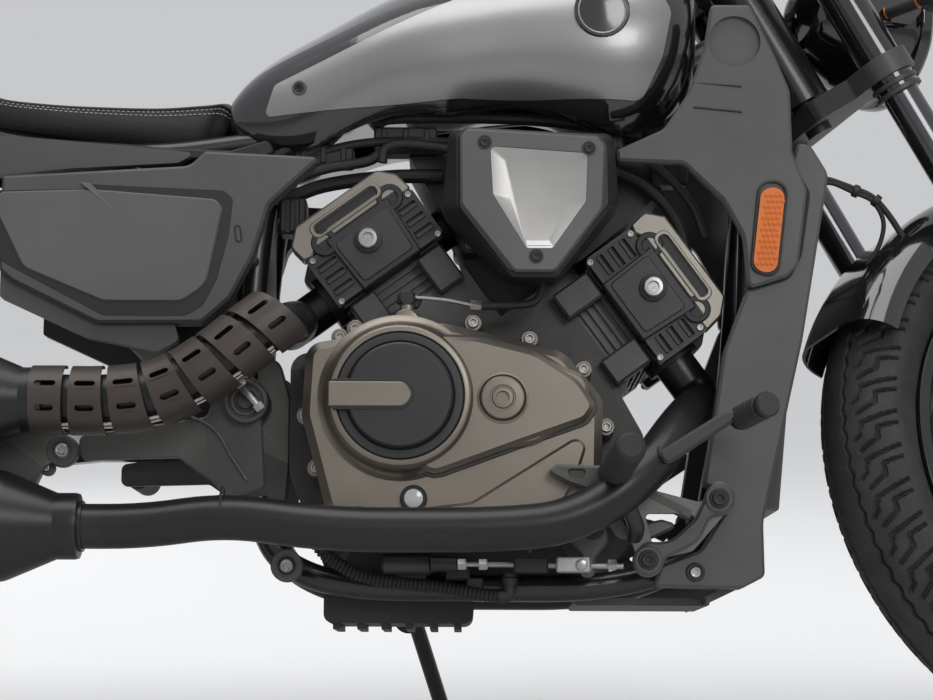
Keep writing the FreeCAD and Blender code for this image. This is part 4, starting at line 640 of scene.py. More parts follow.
def air_cleaner_face(bench):
    """Metal face of the air cleaner with its framed recess, three screws and the pale inlay."""
    rim = ((882, 632, 5), (984, 625, 5), (982, 574, 9), (947, 524, 5), (920, 524, 5), (885, 581, 9))
    floor = ((896, 620, 3), (968, 614, 3), (962, 572, 6), (943, 533, 3), (918, 533, 3), (903, 578, 6))
    bench.piece("air_cleaner_face", Form().slab(((858, 651, 8), (995, 643, 10), (1003, 634, 6),
            (1000, 566, 14), (950, 499, 10), (907, 499, 10), (851, 570, 14), (850, 643, 6)), 206, 215,
            2.4, holes=[(rim, None, 0.6)]), "satin_metal")
    bowl = Form()
    high = counter(rounded(rim))
    low = counter(rounded(floor))
    bowl.rings([[(p.x, p.y, 213.6) for p in high], [(p.x, p.y, 207.6) for p in low]], right_side(), False)
    bench.piece("air_cleaner_inlay", bowl, "bright_inlay")
    bench.piece("air_cleaner_edge", Form().slab(((855, 655, 8), (998, 647, 10), (1007, 636, 6),
            (1004, 564, 14), (952, 495, 10), (905, 495, 10), (847, 569, 14), (846, 645, 6)), 196, 207, 3),
            "black_plastic")
    screws = Form()
    for x, z in ((876, 636), (985, 630), (930, 515)):
        screws.lathe(((7.5, 214.5), (7.5, 216), (5.5, 216), (5.2, 215.2)), right_side(x, 0, z))
        screws.bolt((x, -214.8, z), -Y_AXIS, 4.8, 2.4)
    bench.piece("air_cleaner_screws", screws, "black_plastic")


def clutch_details(bench):
    """Cap with its raised middle, bronze ring and bar, teardrop, crank plug and sight glass."""
    place = right_side(CLUTCH_AT[0], 0, CLUTCH_AT[1])
    bench.piece("clutch_cap_shell", Form().lathe(((66, 197), (66, 206), (64.8, 207.4), (57.5, 207.8),
            (56.4, 206.6), (55.4, 207.8), (54.4, 213), (52.6, 214.6), (20, 215.2), (0, 215.3)), place,
            96), "satin_black", replaces=("clutch_cap",))
    bench.piece("clutch_ring", Form().lathe(((66.3, 200), (66.3, 206), (67.4, 207.4), (71.8, 207.4),
            (73.8, 205.8), (77.5, 190), (82, 184), (88, 181.6)), place, 96, high=False), "bronze",
            sharp=40)
    bench.piece("clutch_bar_groove", Form().slab(((-70, -16, 3), (6, -16, 14), (18, 0, 12), (6, 16, 14),
            (-70, 16, 3)), 205, 215.6, 0.4, place), "black_plastic")
    bench.piece("clutch_bar", Form().slab(((-74, -13, 2), (5, -13, 12), (15, 0, 11), (5, 13, 12),
            (-74, 13, 2)), 205, 217.6, 1.2, place), "bronze")
    tear_rows = ((806, 434, 20), (868, 433, 60), (930, 418, 60), (975, 389, 40), (993, 362, 12),
            (982, 346, 16), (915, 322, 60), (864, 303, 60), (806, 282, 20))
    bench.piece("cover_teardrop", Form().slab(tear_rows, 180, 196.5, 5), "bronze")
    bench.piece("cover_groove", Form().slab(inset(counter(rounded(tear_rows)), -4), 180, 184.5, 1),
            "engine_dark")
    bench.piece("cover_shelf", Form().slab(((736, 262, 12), (768, 250, 20), (864, 262, 20),
            (972, 330, 12), (984, 322, 10), (972, 284, 14), (944, 236, 14), (748, 236, 14)), 180, 186, 3),
            "bronze")
    plug_place = right_side(896, 0, 369)
    bench.piece("crank_plug", Form().lathe(((27, 195), (26.6, 197.6), (24.6, 198.4), (23.8, 196.6),
            (22.8, 198.8), (21.4, 200), (13.6, 200.4), (13, 198.6), (11.6, 198.6), (10.6, 200.6),
            (7, 200.8), (6.6, 197), (0, 197)), plug_place, 48), "bronze")
    sight = right_side(804, 0, 265)
    bench.piece("sight_rim", Form().lathe(((14, 181), (14, 187), (12.6, 188.6), (10.6, 188.6),
            (10.2, 186.8), (0, 186.8)), sight), "black_plastic")
    bench.piece("sight_glass", Form().lathe(((9.8, 186.4), (9.8, 188), (8, 188.8), (0, 189)), sight),
            "pale_glass")
    bosses = Form()
    bolts = Form()
    for x, z, w in ((696, 414, 152), (688, 355, 152), (700, 300, 152), (740, 448, 152), (865, 455, 150),
            (925, 438, 150), (982, 406, 150), (1006, 345, 146), (1002, 290, 146), (724, 439, 150)):
        bosses.lathe(((11, 96), (9.5, w - 1), (8.5, w)), right_side(x, 0, z), 20)
        bolts.bolt((x, -w, z), -Y_AXIS, 6, 5)
    bench.piece("cover_bosses", bosses, "bronze")
    bench.piece("cover_bolts", bolts, "steel")
    arm = Form()
    arm.lathe(((15, 120), (15, 168), (13, 170), (8, 171)), right_side(795, 0, 452), 24)
    arm.lathe(((8, 0), (8, 34), (6, 36)), along_axis((795, -150, 452), Z_AXIS), 20)
    bench.piece("clutch_arm_boss", arm, "bronze")
    lever = Form().slab(((782, 476, 4), (806, 470, 4), (812, 482, 4), (786, 490, 4)), 142, 150, 1)
    lever.lathe(((9, 140), (9, 156), (7, 158)), right_side(795, 0, 480), 20)
    bench.piece("clutch_arm", lever, "black_plastic")
    cable = Form().pipe(((800, -152, 482), (836, -152, 479), (862, -152, 474)), 2.2, 10)
    cable.hex_nut((862, -152, 474), (1, 0, -0.1), 6, 12)
    bench.piece("clutch_cable_end", cable, "steel")
    bench.piece("clutch_cable_elbow", Form().pipe(((872, -152, 473), (905, -150, 474), (932, -146, 480),
            (940, -140, 510), (944, -132, 545)), 4.2), "rubber")


def head_details(bench):
    """Cap bolts, bosses, recess floors and screws on the covers of both heads."""
    for name in CYLINDERS:
        place = head_frame(name)
        bench.twins("head_washer_" + name, Form().lathe(((15, 124), (15, 126.6), (13.4, 127.4)), place, 40),
                "black_plastic")
        bench.twins("head_bolt_" + name, Form().lathe(((11.2, 125), (11.2, 132), (9.8, 133.6),
                (6.2, 133.8), (5.6, 130), (0, 130)), place, 40), "steel")
        bench.twins("strip_recess_" + name, Form().slab(rect(-41, 35.2, 39, 46.8, 5.6), 116.4, 117.8, 0.3,
                place), "black_plastic")
        rim = Form()
        outline = rounded(rect(-46, 31.5, 44, 50.5, 8))
        inner = rect(-41.5, 34.6, 39.5, 47.4, 5.9)
        rim.slab(outline, 119.5, 121.8, 1, place, [(inner, None, 0.5)])
        bench.twins("strip_rim_" + name, rim, "champagne")
        bosses = Form()
        for u in (-40, 46):
            bosses.lathe(((15, 94), (15, 120), (13.5, 121.4), (9, 121.4), (8, 119), (0, 119)),
                    place @ Matrix.Translation((u, 25, 0)), 32)
        bench.twins("head_bosses_" + name, bosses, "black_plastic")
        bench.twins("head_panel_" + name, Form().slab(((-30, -36, 5), (35, -36, 5), (38, 17, 5),
                (-33, 17, 5)), 121, 123.6, 1.2, place), "head_black")
        ribs = Form()
        for start, end in ((-63, -39), (44, 66)):
            for i in range(3):
                v = -30 + i * 15
                ribs.slab(rect(start, v, end, v + 4.4, 1.5), 116, 120.2, 0.8, place)
        bench.twins("head_ribs_" + name, ribs, "head_black")
        screws = Form()
        for u, v in ((-62, 16), (64, 16), (-62, -38), (65, -38)):
            screws.bolt(place @ Vector((u, v, 117.6)), -Y_AXIS, 3.6, 3)
        bench.twins("head_screws_" + name, screws, "steel")


SHIELD_LINE = ((404, -222, 361), (440, -222, 361), (485, -222, 361), (530, -222, 366), (566, -221, 380),
               (600, -220, 402), (632, -217, 428), (662, -210, 452), (684, -200, 470))
SHIELD_R = 36
BAND_COUNT = 7
BAND_LENGTH = 33.5
BAND_PITCH = 40.6
BAND_REACH = 1.75
BAND_THICK = 2.0
# Slots of a band: angle of the middle, length, width
BAND_SLOTS = ((-0.33, 19, 6.8), (0.40, 22, 6.2))


def shield_point(line, s, angle, radius):
    """Point at a distance along the shield's line, at an angle round it from straight out, up positive."""
    at = 0
    for a, b in zip(line, line[1:]):
        length = (b - a).length
        if at + length >= s or b is line[-1]:
            break
        at += length
    ahead = (b - a).normalized()
    here = a + ahead * (s - at)
    out = -Y_AXIS
    out = (out - ahead * out.dot(ahead)).normalized()
    up = ahead.cross(out)
    up = up if up.z > 0 else -up
    return here + out * radius * math.cos(angle) + up * radius * math.sin(angle)


def heat_shield(bench):
    """Seven slotted bands round the outside of the upper pipe, on short brackets."""
    line = even_line(smooth_line(SHIELD_LINE, 8), 3)
    bands = Form()
    screws = Form()
    for i in range(BAND_COUNT):
        start = 10 + i * BAND_PITCH
        skew = 0.10 * max(0, i - 1)
        bands.merge(shield_band(line, start, BAND_LENGTH, SHIELD_R - 0.2 * i, skew))
        if i < BAND_COUNT - 1:
            for angle in (-1.1, -0.95):
                a = shield_point(line, start + BAND_LENGTH - 5, angle, SHIELD_R - 3)
                b = shield_point(line, start + BAND_PITCH + 5, angle, SHIELD_R - 3)
                screws.merge(Form().pipe((a, b), 1.8, 8))
    bench.piece("heat_shield_bands", bands, "shield", replaces=("heat_shield",))
    bench.piece("heat_shield_links", screws, "steel")
    bench.piece("heat_shield_wrap", Form().pipe([Vector(p) for p in SHIELD_LINE[:-1]], 27, 24, 6), "exhaust")


def shield_band(line, start, length, radius, skew):
    """One band: a shell in (distance, angle) with slotted holes, given real thickness."""
    form = Form()
    cells = []
    edge = -BAND_REACH
    for centre, slot_length, slot_width in BAND_SLOTS:
        half = slot_width / radius
        cells.append(("plain", edge, centre - half))
        cells.append(("slot", centre - half, centre + half, slot_length, slot_width))
        edge = centre + half
    cells.append(("plain", edge, BAND_REACH))
    thick = BAND_THICK

    def put(s, angle, depth):
        lean = skew * (angle - 0.1) * 14
        return shield_point(line, start + s - lean, angle, radius - depth)

    for cell in cells:
        a0, a1 = cell[1], cell[2]
        rows = max(1, int((a1 - a0) / 0.11))
        if cell[0] == "plain":
            for j in range(rows):
                b0 = a0 + (a1 - a0) * j / rows
                b1 = a0 + (a1 - a0) * (j + 1) / rows
                for k in range(6):
                    s0, s1 = length * k / 6, length * (k + 1) / 6
                    form.add([put(s0, b0, 0), put(s1, b0, 0), put(s1, b1, 0), put(s0, b1, 0)], [(0, 1, 2, 3)])
                    form.add([put(s0, b0, thick), put(s1, b0, thick), put(s1, b1, thick),
                            put(s0, b1, thick)], [(3, 2, 1, 0)])
                for s in (0, length):
                    form.add([put(s, b0, 0), put(s, b1, 0), put(s, b1, thick), put(s, b0, thick)],
                            [(0, 1, 2, 3)])
            continue
        slot_length, slot_width = cell[3], cell[4]
        middle = (a0 + a1) / 2
        inner = stadium(length / 2, middle * radius, slot_length, slot_width, 0, 7)
        rim = []
        for p in inner:
            d = p - Vector((length / 2, middle * radius))
            reach = max(abs(d.x) / (length / 2), abs(d.y) / ((a1 - a0) / 2 * radius))
            rim.append(Vector((length / 2, middle * radius)) + d / reach)
        corners = [Vector((s, a * radius)) for s in (0, length) for a in (a0, a1)]
        for corner in corners:
            nearest = min(range(len(rim)), key=lambda m: (rim[m] - corner).length)
            rim[nearest] = corner
        count = len(inner)
        for depth, way in ((0, 1), (thick, -1)):
            verts = [put(p.x, p.y / radius, depth) for p in inner] + [put(p.x, p.y / radius, depth)
                    for p in rim]
            faces = [(k, (k + 1) % count, count + (k + 1) % count, count + k)[::way] for k in range(count)]
            form.add(verts, faces)
        wall = [put(p.x, p.y / radius, depth) for depth in (0, thick) for p in inner]
        form.add(wall, [(k, (k + 1) % count, count + (k + 1) % count, count + k) for k in range(count)])
        for s in (0, length):
            form.add([put(s, a0, 0), put(s, a1, 0), put(s, a1, thick), put(s, a0, thick)], [(0, 1, 2, 3)])
    for angle in (-BAND_REACH, BAND_REACH):
        form.add([put(0, angle, 0), put(length, angle, 0), put(length, angle, thick),
                put(0, angle, thick)], [(0, 1, 2, 3)])
    return form


# Tank, seats and covers

def tank_details(bench):
    """Bare round badge place on each panel, its moulded surround, and the panel's screw."""
    place = bench.on_surface("tank_panels", 1002, 793, 3)
    bench.twins("badge_disc", Form().lathe(((30, -8), (30, 0), (28.6, 1.6), (26.6, 1.6), (26, 0.4),
            (23, 0.4), (12, 0.9), (0, 1.1)), place, 64), "gloss_black")
    bench.twins("badge_ring", Form().lathe(((26.2, 0), (26.2, 1.9), (25.5, 2.2), (24.6, 1.9), (24.6, 0)),
            place, 64, high=False), "brushed")
    place = bench.on_surface("tank_panels", 675, 717, 0.6)
    bench.twins("panel_screw_ring", Form().lathe(((8.4, -5), (8.4, 0.4), (7.4, 1.2), (5.4, 1.2), (5, -1),
            (0, -1)), place), "satin_metal")
    bench.twins("panel_screw", Form().bolt(place @ Vector((0, 0, -1)),
            (place @ Vector((0, 0, 1))) - (place @ Vector((0, 0, 0))), 4.6, 2.4), "black_plastic")


# Sections of both cushions: x, half width, levels of base, edge and crown
RIDER_ROWS = ((603, 70, 668, 700, 712), (592, 80, 654, 708, 720), (575, 92, 654, 704, 717),
              (520, 106, 657, 697, 709), (450, 124, 662, 694, 706), (400, 136, 667, 694, 707),
              (352, 140, 672, 699, 714), (310, 136, 680, 714, 735), (284, 130, 690, 738, 758),
              (266, 122, 700, 748, 764))
PILLION_ROWS = ((262, 118, 706, 752, 772), (230, 122, 706, 772, 792), (170, 118, 712, 786, 804),
                (90, 110, 732, 790, 808), (10, 98, 732, 790, 808), (-40, 84, 732, 782, 800),
                (-60, 62, 736, 764, 776))


def seat_sections(rows, count):
    """Rows of (x, half width, bottom z, edge z, crown z) read at even steps."""
    result = []
    for k in range(count + 1):
        t = k / count * (len(rows) - 1)
        i = min(int(t), len(rows) - 2)
        f = t - i
        before = rows[max(i - 1, 0)]
        after = rows[min(i + 2, len(rows) - 1)]
        row = []
        for p0, p1, p2, p3 in zip(before, rows[i], rows[i + 1], after):
            row.append(0.5 * (2 * p1 + (p2 - p0) * f + (2 * p0 - 5 * p1 + 4 * p2 - p3) * f * f
                    + (3 * p1 - p0 - 3 * p2 + p3) * f ** 3))
        result.append(row)
    return result


def seat_ring(row, steps=40):
    """Closed section of a cushion: flat base, full sides pulled in at the seam, crowned top."""
    x, half, low, edge, crown = row
    points = [(x, -half * 0.86, low), (x, half * 0.86, low)]
    side = [(x,) + seat_side(row, k / 6) for k in range(7)]
    top = []
    for k in range(1, steps):
        t = k / steps
        y = half * 0.98 * (1 - 2 * t)
        dip = abs(1 - 2 * t)
        top.append((x, y, edge + (crown - edge) * (1 - dip ** 3.2)))
    ring = points[1:] + side[1:] + top + [(x, -y, z) for x, y, z in reversed(side[1:])] + points[:1]
    return [seat_lean(Vector(p), crown) for p in ring]


def seat_side(row, t):
    """Offset and height on a cushion's side, t from its base to its seam."""
    _, half, low, edge, _ = row
    return half * (0.88 + 0.10 * t) + math.sin(math.pi * t) * 5, low + (edge - low) * t


def seat_lean(p, crown):
    """The rider's seat is cut back under its nose."""
    share = max(0.0, min(1.0, (p.x - 500) / 90))
    return Vector((p.x - share * (crown - p.z) * 0.36, p.y, p.z))


def seat_piece(bench, name, rows, node, count=44):
    sections = seat_sections(rows, count)
    form = Form().rings([seat_ring(row) for row in sections])
    obj = bench.piece(name, form, "leather", sharp=50, replaces=(node,))
    return sections


def seats(bench):
    """Rider's scooped seat and passenger's pad, with welts and twin rows of stitches along the edges."""
    sections = seat_piece(bench, "seat_rider_cushion", RIDER_ROWS, "seat_rider")
    back = seat_piece(bench, "seat_pillion_cushion", PILLION_ROWS, "seat_pillion")
    threads = Form()
    welts = Form()
    for rows in (sections, back):
        for side in (-1, 1):
            for t in (0.93, 0.83):
                line = []
                for row in rows[1:-1]:
                    y, z = seat_side(row, t)
                    line.append(seat_lean(Vector((row[0], side * (y + 0.5), z)), row[4]))
                even = even_line(line, 5.4)
                for a, b in zip(even, even[1:]):
                    threads.merge(Form().pipe((a, a.lerp(b, 0.62)), 0.62, 5))
            seam = []
            for row in rows:
                y, z = seat_side(row, 1.0)
                seam.append(seat_lean(Vector((row[0], side * (y + 0.3), z)), row[4]))
            welts.merge(Form().pipe(seam, 1.5, 8, 2))
    bench.piece("seat_stitches", threads, "thread")
    bench.piece("seat_welts", welts, "leather")


# Tyres

# Node: body, centre, radius, width, crown radius, rim radius, rim width, pitches, rows in a pitch
TYRES = {
    "front_tyre": ("front_wheel", FRONT_AXLE, 319, 130, 68, 236, 92, 46, 24),
    "rear_tyre": ("rear_wheel", REAR_AXLE, 320, 180, 105, 213, 134, 44, 20),
}
GROOVE_DEPTH = 5.2
GROOVE_HALF = 2.3
CENTRE_GROOVE = 0.25
# Shoulder grooves: share of the half tread, share of a pitch
GROOVES = (((1.04, 0.00), (0.52, 0.25), (0.49, 0.55), (0.40, 0.67)),
           ((1.04, 0.34), (0.77, 0.42), (0.74, 0.74), (0.48, 0.96)))
COLUMNS = (0.0, 0.09, 0.17, 0.205, 0.225, 0.275, 0.295, 0.33, 0.37, 0.40, 0.43, 0.46, 0.485, 0.51, 0.54,
           0.58, 0.63, 0.68, 0.72, 0.745, 0.77, 0.80, 0.85, 0.91, 0.97, 1.0, 1.035)
WALL_STEPS = 7


def near_segment(p, a, b):
    """Distance of a point from a segment in the plane."""
    run = b - a
    t = max(0, min(1, (p - a).dot(run) / run.length_squared))
    return (p - a - run * t).length


def groove_at(s, c, half, pitch):
    """Depth of the tread at s mm from the middle and c mm along the pitch."""
    share = s / half
    if 0.215 < share < 0.285:
        return GROOVE_DEPTH
    nearest = 1e9
    here = Vector((s, c))
    for line in GROOVES:
        for shift in (-1, 0, 1):
            points = [Vector((u * half, (v + shift) * pitch)) for u, v in line]
            for a, b in zip(points, points[1:]):
                nearest = min(nearest, near_segment(here, a, b))
    return GROOVE_DEPTH * max(0.0, min(1.0, (GROOVE_HALF + 0.4 - nearest) / 0.9))


def tyre_piece(bench, node):
    """Tyre with zigzag centre grooves, stepped shoulder grooves and a ribbed sidewall line."""
    body, centre, tyre_r, tyre_w, crown_r, rim_r, rim_w, pitches, rows = TYRES[node]
    reach = math.asin(tyre_w / 2 * 0.93 / crown_r)
    half = reach * crown_r
    pitch = 2 * math.pi * tyre_r / pitches
    core_r = tyre_r - crown_r
    start = Vector((core_r + crown_r * math.cos(reach), crown_r * math.sin(reach)))
    middle = Vector((start.x - (start.x - rim_r) * 0.42, tyre_w / 2 * 1.02))
    end = Vector((rim_r + 1, rim_w / 2 - 6))

    def zigzag(c):
        t = (c / pitch * 2) % 1
        return (abs(t * 2 - 1) - 0.5) * 5.5

    profile = []
    for k in range(rows):
        c = pitch * k / rows
        line = []
        for share in COLUMNS:
            blend = max(0.0, 1 - abs(share - CENTRE_GROOVE) / 0.13)
            s = share * half + zigzag(c) * blend
            drop = groove_at(share * half, c, half, pitch)
            angle = s / crown_r
            line.append((core_r + (crown_r - drop) * math.cos(angle), (crown_r - drop) * math.sin(angle)))
        for j in range(1, WALL_STEPS + 1):
            t = j / WALL_STEPS
            p = start * (1 - t) ** 2 + middle * 2 * t * (1 - t) + end * t * t
            line.append((p.x + (0.9 if j == 2 else 0), p.y + (1.0 if j == 2 else 0)))
        profile.append(line)
    total = pitches * rows
    verts = []
    for i in range(total):
        angle = 2 * math.pi * i / total
        right = profile[(i + rows // 2) % rows]
        left = profile[i % rows]
        section = [(r, -y) for r, y in reversed(right[1:])] + [(r, y) for r, y in left]
        verts += [(centre[0] + r * math.cos(angle), y, centre[2] + r * math.sin(angle)) for r, y in section]
    count = 2 * len(profile[0]) - 1
    faces = []
    for i in range(total):
        n = (i + 1) % total
        for j in range(count - 1):
            faces.append((i * count + j, i * count + j + 1, n * count + j + 1, n * count + j))
        faces.append((i * count + count - 1, i * count, n * count, n * count + count - 1))
    bench.piece(node + "_tread", Form().add(verts, faces), "tyre", body, sharp=38, replaces=(node,))


# Side covers, shrouds and reflectors

COVER_PLATE = ((356, 594, 8), (450, 597, 4), (473, 596, 2), (590, 587, 12), (597, 577, 8), (581, 494, 26),
               (555, 476, 16), (472, 476, 20), (386, 512, 20), (356, 572, 14))
# The second outline is a band of painted shade: flat black round the plate, where the channel falls in
# shadow.
COVER_SHADE_BAND = ((354, 524, 4), (375, 512, 20), (472, 461, 20), (560, 461, 20), (578, 472, 16), (592, 500, 30),
              (604, 548, 30), (608, 588, 8), (598, 597, 10), (457, 603, 2), (448, 598, 2), (354, 596, 2))


def side_cover_details(bench):
    """Inset plate ringed by a flat black band of painted shade for the shadowed channel round it, the crease,
    the slot, and the base under the seat's edge.
    """
    plate = counter(rounded(COVER_PLATE))
    bench.twins("side_cover_plate", Form().slab(plate, 148, 154.6, 1.6), "cover_plate")
    # Painted shade: a flat black band round the plate stands in for the shadowed channel.
    bench.twins("side_cover_shade_band", Form().slab(COVER_SHADE_BAND, 148, 152.5, 0.4), "black_plastic")
    crease = Form()
    crease.add([(444, 605, 153), (455, 604, 153), (500, 558, 154.2), (444, 605, 155.6),
            (455, 604, 154.4)], [(0, 1, 2), (3, 0, 2), (3, 2, 4), (4, 2, 1), (3, 4, 1, 0)], right_side())
    bench.twins("side_cover_crease", crease, "cover_plate")
    bench.twins("side_cover_slot", Form().slab(stadium(614, 550, 19, 7.4, 98), 150, 152.9, 0.4,
            holes=[(stadium(614, 550, 16, 4.4, 98), 1.4, 0.2)]), "black_plastic")
    bench.twins("seat_base", Form().slab(((352, 668, 4), (450, 660, 20), (540, 652, 20), (600, 650, 10),
            (640, 662, 6), (650, 648, 6), (628, 640, 8), (560, 640, 20), (352, 656, 4)), 90, 112, 2),
            "black_plastic")


def shroud_details(bench):
    """Engraved lines on the upper cover and the shroud's lower screw."""
    lines = Form()
    for z0, z1 in ((716, 712), (689, 684)):
        a = bench.on_surface("head_covers", 1100, z0, 0.3).to_translation()
        b = bench.on_surface("head_covers", 1152, z1, 0.3).to_translation()
        lines.merge(Form().pipe((a, a.lerp(b, 0.5), b), 1.2, 8, 3))
    bench.twins("shroud_lines", lines, "black_plastic")
    screws = Form()
    rings = Form()
    place = bench.on_surface("radiator_shrouds", 1098, 192, 0.5)
    rings.lathe(((10, -4), (10, 0.8), (8.6, 1.8), (7.2, 1.8), (7, 0), (0, 0)), place)
    screws.bolt(place.to_translation() - Y_AXIS * 0.6, -Y_AXIS, 5.6, 3)
    bench.twins("shroud_screw_rings", rings, "black_plastic")
    bench.twins("shroud_screws", screws, "steel")


def reflector_details(bench):
    """Rim and rows of small prisms on both amber reflectors."""
    rows = ((1171, 606, 12), (1198, 606, 12), (1186, 505, 10), (1161, 513, 10))
    rim = inset(counter(rounded(rows)), -3)
    bench.twins("reflector_rim", Form().slab(rim, 154, 161.2, 1, holes=[(inset(rim, 2.6), None, 0.4)]),
            "black_plastic")
    prisms = Form()
    for i in range(13):
        for j in range(4):
            t = i / 12
            x = 1166 + t * 11 + j * 5.0 + (2.5 if i % 2 else 0)
            z = 518 + t * 74
            place = right_side(x, -161.4, z)
            prisms.lathe(((3.1, 0), (2.2, 1.1), (0.1, 1.9)), place, 6)
    bench.twins("reflector_prisms", prisms, "amber")


# Harness and hoses behind the covers

# Looms under the tank and beside the heads: points and radius
LOOMS = (
    (((640, -96, 640), (690, -96, 672), (760, -92, 690), (850, -88, 694), (950, -88, 690),
      (1050, -90, 676)), 7),
    (((636, -84, 622), (690, -88, 650), (744, -90, 664), (820, -84, 668), (870, -84, 664)), 5),
    (((646, -104, 610), (700, -100, 632), (748, -96, 642), (770, -96, 655), (800, -92, 660),
      (832, -88, 656)), 6),
    (((655, -78, 600), (700, -80, 618), (770, -80, 628), (830, -78, 630)), 8),
    (((1020, -96, 655), (1060, -100, 640), (1100, -96, 600), (1118, -92, 560)), 5),
    (((1000, -84, 640), (1050, -88, 620), (1086, -90, 580), (1100, -84, 530)), 7),
)


def harness(bench):
    """Looms, hoses and connectors under the tank, beside the heads and along the engine's foot."""
    looms = Form()
    for points, radius in LOOMS:
        looms.merge(Form().pipe(points, radius, 12))
    bench.piece("under_tank_looms", looms, "rubber")
    boxes = Form()
    for x, z, w, h, y0, y1 in ((700, 650, 66, 24, 66, 92), (790, 668, 70, 30, 60, 88),
            (1000, 662, 60, 26, 60, 90), (668, 580, 30, 40, 70, 100), (1080, 640, 40, 44, 66, 92)):
        boxes.slab(rect(x - w / 2, z - h / 2, x + w / 2, z + h / 2, 4), y0, y1, 2)
        for k in range(3):
            cx = x - w / 2 + w * (k + 0.5) / 3
            boxes.slab(rect(cx - 3, z - h / 2 + 3, cx + 3, z + h / 2 - 3, 1), y1 - 1, y1 + 2, 0.8)
    bench.piece("under_tank_boxes", boxes, "black_plastic")
    bench.piece("breather_hose", Form().pipe(((765, -100, 640), (768, -100, 655), (787, -100, 661),
            (826, -98, 658), (856, -92, 652)), 5.5, 14), "rubber")
    bench.piece("foot_conduit", Form().pipe(((700, -150, 222), (715, -150, 206), (747, -150, 188),
            (789, -150, 179), (832, -150, 175), (874, -150, 168), (896, -148, 166)), 6.4, 14, 8, True,
            1.0, 4.4), "rubber")
    fitting = Form()
    fitting.pipe(((892, -148, 166), (903, -148, 168), (904, -148, 180), (904, -148, 190)), 7.4, 14)
    fitting.lathe(((9, 0), (9, 7), (7.6, 8)), along_axis((904, -148, 178), Z_AXIS), 20)
    for x, z, w, h in ((800, 190, 34, 15), (850, 190, 26, 13), (868, 178, 18, 16)):
        fitting.slab(rect(x - w / 2, z - h / 2, x + w / 2, z + h / 2, 2), 132, 146, 1.5)
    bench.piece("foot_connectors", fitting, "black_plastic")
    wires = Form()
    for k in range(3):
        wires.merge(Form().pipe(((778, -141, 191 + 2.2 * k), (794, -147, 193 + 2.2 * k),
                (812, -143, 191 + 2.2 * k)), 1.0, 6))
    bench.piece("foot_wires", wires, "orange")
    rod = Form().pipe(((832, -165, 199), (925, -165, 198), (1022, -165, 197)), 3, 12)
    for x, nut in ((850, 6.4), (872, 6.4), (968, 6.4), (980, 7), (1006, 6.4)):
        rod.hex_nut((x, -165, 198.4), X_AXIS, nut, 9)
    bench.piece("brake_rod", rod, "brushed")
    clevis = Form().slab(rect(952, 190, 988, 206, 3), 158, 176, 1.5)
    clevis.bolt((978, -176, 198), -Y_AXIS, 6, 4, False)
    bench.piece("brake_clevis", clevis, "steel")
    switch = Form().lathe(((8, 0), (8, 26), (6.4, 28), (4, 34)), along_axis((822, -163, 199), X_AXIS), 20)
    switch.slab(rect(908, 190, 944, 206, 2), 156, 172, 2)
    bench.piece("brake_switch", switch, "black_plastic")


